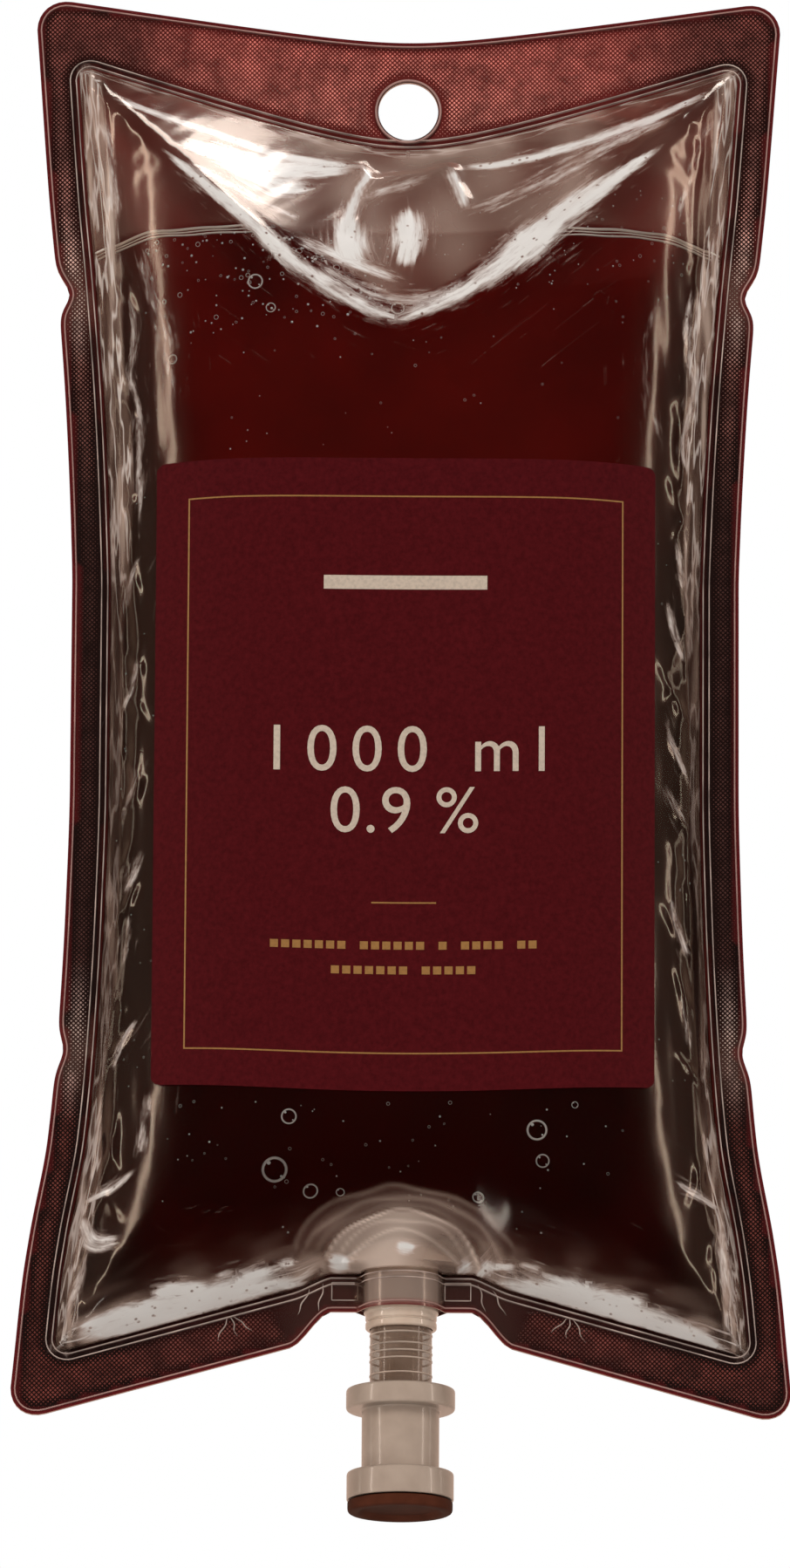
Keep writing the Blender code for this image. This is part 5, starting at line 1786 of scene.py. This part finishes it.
small_chance = np.random.default_rng(5)
small_bubbles = []
specks = []
for _ in range(bubble_count):
    kind = small_chance.random()
    tiny = small_chance.random() < speck_share
    if kind < 0.34:
        # These lie under the level line, left of the middle.
        x = small_chance.uniform(-0.057, -0.004)
        z = -0.0335 - 0.022 * small_chance.random() ** 1.5
        radius = small_chance.uniform(0.0002, 0.0006)
    elif kind < 0.52:
        # These lie down the left leg of the V.
        share = small_chance.random()
        x = -0.036 + 0.038 * share + small_chance.normal(0.0, 0.0013)
        z = -0.0300 - 0.0215 * share + small_chance.normal(0.0, 0.0011)
        radius = small_chance.uniform(0.0003, 0.0008)
    elif kind < 0.70:
        # These lie about the level line, right of the middle.
        x = small_chance.uniform(0.002, 0.060)
        z = -0.022 - 0.024 * small_chance.random()
        radius = small_chance.uniform(0.00018, 0.0004)
    elif kind < 0.80:
        # These lie above the label.
        x = small_chance.uniform(-0.048, 0.048)
        z = small_chance.uniform(-0.082, -0.036)
        radius = small_chance.uniform(0.00016, 0.00035)
    elif kind < 0.93:
        # These lie below the label.
        x = small_chance.uniform(-0.052, 0.052)
        z = small_chance.uniform(-0.252, -0.224)
        radius = small_chance.uniform(0.00016, 0.00045)
    else:
        # These lie beside the side seams.
        x = small_chance.choice((-1.0, 1.0)) * small_chance.uniform(0.054, 0.062)
        z = small_chance.uniform(-0.220, -0.060)
        radius = small_chance.uniform(0.00016, 0.00030)
    # The tiniest bubbles show only as pale dots: painted glints.
    if tiny:
        normal = film_normal(x, z)
        specks.append(ball(film_point(x, z) - speck_depth * normal, normal, 0.55 * radius, 4, 8))
    else:
        small_bubbles.append(bubble_at(x, z, radius))
place_piece("small_bubbles", small_bubbles, bubble_look)
place_piece("bubble_glints", glints + specks, glint_look)

# Port
# A moulded port is welded between the sheets: a boat and its sleeve, a clear tube closed by
# a membrane, and a cream closure whose ring holds the rubber that a spike pierces.
seal_bottom = pouch_bottom_height - bottom_seal_width + port_relief_depth
boat_bottom = pouch_bottom_height + boat_above_seal
collar_top = seal_bottom - 0.0004
collar_bottom = collar_top - 0.0036
collar_radius = 0.0076
bore_radius = 0.0046
mouth_radius = 0.0066
tube_radius = 0.0066
tube_top = collar_bottom + 0.0085
flange_top = collar_bottom - 0.0128
flange_bottom = flange_top - 0.0046
flange_radius = 0.0116
housing_radius = 0.00825
tube_bottom = flange_top - 0.0080
ring_top = flange_bottom - 0.0134
ring_bottom = ring_top - 0.0060
ring_radius = 0.0114
ring_wall = 0.0013
ring_top_wall = 0.0012
foot_top = ring_top - ring_top_wall - fit_clearance
foot_bottom = foot_top - 0.0011
foot_radius = 0.0096
septum_top = foot_bottom - fit_clearance
septum_rim_top = ring_bottom - fit_clearance
septum_bottom = septum_rim_top - 0.0024
septum_rim_radius = 0.0112
septum_rounding = 0.0014
septum_face_radius = 0.0080
septum_recess = 0.0011
edge_rounding = 0.0007
turned_steps = 96
port_sharp_angle = 38
tube_ring_drops = (0.0012, 0.0036, 0.0052, 0.0068, 0.0100)
tube_ring_radius = 0.00022
tube_ring_inset = 0.00005
core_inner_radius = 0.0040
core_outer_radius = 0.00452
core_top = collar_bottom - 0.0022
core_bottom = collar_bottom - 0.0105
membrane_top = tube_top - 0.0130
membrane_bottom = tube_top - 0.0138


def rounded(corners, default_radius, steps=4):
    """A closed profile of (radius, height) points with its corners rounded.

    A corner may name its own rounding as a third value.
    """
    count = len(corners)
    result = []
    for index in range(count):
        here = np.array(corners[index][:2])
        before = np.array(corners[index - 1][:2])
        after = np.array(corners[(index + 1) % count][:2])
        size = corners[index][2] if len(corners[index]) > 2 else default_radius
        to_before = before - here
        to_after = after - here
        size = min(size, 0.45 * np.linalg.norm(to_before), 0.45 * np.linalg.norm(to_after))
        if here[0] <= 0.0 or size < 1e-6:
            result.append(tuple(here))
            continue
        start = here + to_before / np.linalg.norm(to_before) * size
        end = here + to_after / np.linalg.norm(to_after) * size
        for step in range(steps + 1):
            share = step / steps
            point = (1 - share) ** 2 * start + 2 * share * (1 - share) * here + share**2 * end
            result.append(tuple(point))
    return result


def turned(name, profile, steps=turned_steps):
    """A closed solid turned about Z, as a mesh. Points on the axis become single poles."""
    rings = []
    verts = []
    for radius, height in profile:
        if radius <= 1e-7:
            rings.append([len(verts)] * steps)
            verts.append((0.0, 0.0, height))
            continue
        rings.append(list(range(len(verts), len(verts) + steps)))
        for step in range(steps):
            angle = 2.0 * math.pi * step / steps
            verts.append((radius * math.cos(angle), radius * math.sin(angle), height))
    faces = []
    for upper, lower in zip(rings, rings[1:] + rings[:1], strict=True):
        if upper[0] == upper[1] and lower[0] == lower[1]:
            continue
        for step in range(steps):
            turn = (step + 1) % steps
            corners = (upper[step], upper[turn], lower[turn], lower[step])
            faces.append(tuple(dict.fromkeys(corners)))
    return solid_data(name, verts, faces, port_sharp_angle)


def moulded_material(name, dark, pale, clearness, roughness, coat):
    """Translucent moulded plastic: cloudy, clearer face-on, and with painted shade at its rims."""
    material, tree, output = new_material(name)
    tint = two_colours(tree, noise(tree, object_place(tree), 160.0, 3.0), dark, pale, 0.30, 0.70)
    # The colour is darkened towards the rims, where the eye grazes the surface: painted shade.
    edge = add_node(tree, "ShaderNodeLayerWeight", Blend=0.5).outputs["Facing"]
    shaded = scaled_colour(tree, tint, mapped(tree, edge, 0.10, 1.0, 1.0, 0.45))
    level = 0.5 if coat > 0.0 else 0.08
    body = plastic(
        tree, shaded, roughness, Specular_IOR_Level=level, Coat_Weight=coat, Coat_Roughness=0.06
    )
    if clearness > 0.0:
        facing_share = add_node(tree, "ShaderNodeLayerWeight", Blend=0.35).outputs["Facing"]
        clear = add_node(tree, "ShaderNodeBsdfTransparent", (0.90, 0.84, 0.78)).outputs[0]
        body = layered(tree, mapped(tree, facing_share, 0.0, 1.0, 1.0 - clearness), clear, body)
    feed(tree, output.inputs["Surface"], body)
    return material


def lens_block(name, top, bottom):
    """The boat: a lens-shaped block with a domed top and rounded ends."""
    half = [(x, -float(boat_half_depth(x))) for x in boat_half_width * np.linspace(-1.0, 1.0, 49)]
    outline = half + [(x, -y) for x, y in reversed(half)]
    loop = len(outline)
    rows = ((top, 0.55), (top - 0.0007, 0.86), (top - 0.0016, 0.97), (top - 0.0028, 1.0), (bottom, 1.0))
    verts = [(x * share, y * share, height) for height, share in rows for x, y in outline]
    faces = []
    for first in range(0, loop * (len(rows) - 1), loop):
        for index in range(loop):
            following = (index + 1) % loop
            lower = first + loop
            faces.append((first + index, first + following, lower + following, lower + index))
    faces.append(tuple(range(loop)))
    faces.append(tuple(range(len(verts) - loop, len(verts)))[::-1])
    return solid_data(name, verts, faces, port_sharp_angle)


collar_middle = 0.5 * (collar_top + collar_bottom)
sleeve_profile = rounded(
    [
        (bore_radius, boat_top + 0.0002),
        (mouth_radius, boat_top + 0.0002),
        (sleeve_radius, boat_bottom),
        (sleeve_radius, collar_top),
        (collar_radius, collar_top - 0.0004),
        (collar_radius, collar_middle + 0.0003),
        (collar_radius - 0.0004, collar_middle),
        (collar_radius, collar_middle - 0.0003),
        (collar_radius, collar_bottom + 0.0003),
        (collar_radius - 0.0004, collar_bottom),
        (tube_radius + 0.0001, collar_bottom),
        (tube_radius + 0.0001, tube_top + 0.0003),
        (bore_radius, tube_top + 0.0003),
    ],
    0.0003,
)
tube_profile = rounded(
    [
        (bore_radius, tube_top),
        (tube_radius, tube_top),
        (tube_radius, tube_bottom),
        (bore_radius, tube_bottom),
        (bore_radius, membrane_bottom),
        (0.0, membrane_bottom),
        (0.0, membrane_top),
        (bore_radius, membrane_top),
    ],
    0.0002,
)
housing_profile = rounded(
    [
        (tube_radius + fit_clearance, flange_top),
        (flange_radius, flange_top, edge_rounding),
        (flange_radius, flange_bottom, edge_rounding),
        (housing_radius, flange_bottom, 0.0005),
        (housing_radius, foot_top),
        (foot_radius, foot_top),
        (foot_radius, foot_bottom),
        (bore_radius, foot_bottom),
        (bore_radius, tube_bottom - fit_clearance),
        (tube_radius + fit_clearance, tube_bottom - fit_clearance),
    ],
    0.0003,
)
ring_bore = ring_radius - ring_wall
ring_profile = rounded(
    [
        (housing_radius + fit_clearance, ring_top),
        (ring_radius, ring_top, edge_rounding),
        (ring_radius, ring_bottom),
        (ring_bore, ring_bottom),
        (ring_bore, ring_top - ring_top_wall),
        (housing_radius + fit_clearance, ring_top - ring_top_wall),
    ],
    0.0003,
)
septum_profile = rounded(
    [
        (0.0, septum_top),
        (ring_bore - fit_clearance, septum_top),
        (ring_bore - fit_clearance, septum_rim_top),
        (septum_rim_radius, septum_rim_top),
        (septum_rim_radius, septum_bottom, septum_rounding),
        (septum_face_radius + septum_recess, septum_bottom, 0.0004),
        (septum_face_radius, septum_bottom + septum_recess, 0.0004),
        (0.0, septum_bottom + septum_recess),
    ],
    0.0003,
)
sleeve_look = moulded_material("port_sleeve_look", (0.86, 0.62, 0.47), (1.0, 0.82, 0.66), 0.10, 0.16, 0.6)
tube_look = moulded_material("port_tube_look", (0.36, 0.235, 0.165), (0.54, 0.375, 0.285), 0.60, 0.12, 0.6)
closure_look = moulded_material("closure_look", (0.52, 0.39, 0.305), (0.63, 0.485, 0.385), 0.0, 0.30, 0.45)
rubber_look = moulded_material("septum_look", (0.085, 0.022, 0.010), (0.140, 0.040, 0.020), 0.0, 0.70, 0.0)
tube_rings = []
for drop in tube_ring_drops:
    circle = ring_points(tube_radius - tube_ring_inset, turned_steps)
    z = np.full(turned_steps, collar_bottom - drop)
    tube_rings.append(tube("tube_ring", np.column_stack([circle, z]), tube_ring_radius, True))
ring_look = clouded_plastic("tube_ring_look", (0.80, 0.62, 0.50), 0.2, 0.7, 0.5)
place_piece("tube_rings", tube_rings, ring_look)
core_profile = [
    (core_inner_radius, core_top),
    (core_outer_radius, core_top),
    (core_outer_radius, core_bottom),
    (core_inner_radius, core_bottom),
]
core_look = clouded_plastic("tube_core_look", (0.10, 0.062, 0.047), 0.3, 0.5, 0.6)
place_piece("tube_core", [turned("core", core_profile)], core_look)
boat_parts = [turned("sleeve", sleeve_profile), lens_block("boat", boat_top, boat_bottom)]
for name, parts, look, slot, node in (
    ("port_sleeve", boat_parts, sleeve_look, "port_clear", "port_boat"),
    ("port_tube", [turned("tube", tube_profile)], tube_look, "port_clear", "membrane_tube"),
    ("closure_spool", [turned("spool", housing_profile)], closure_look, "closure_cream", "closure_housing"),
    ("closure_ring", [turned("ring", ring_profile)], closure_look, "closure_cream", "retainer_ring"),
    ("closure_septum", [turned("septum", septum_profile)], rubber_look, "septum_rubber", "septum"),
):
    piece = place_piece(name, parts, look)
    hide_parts(node)
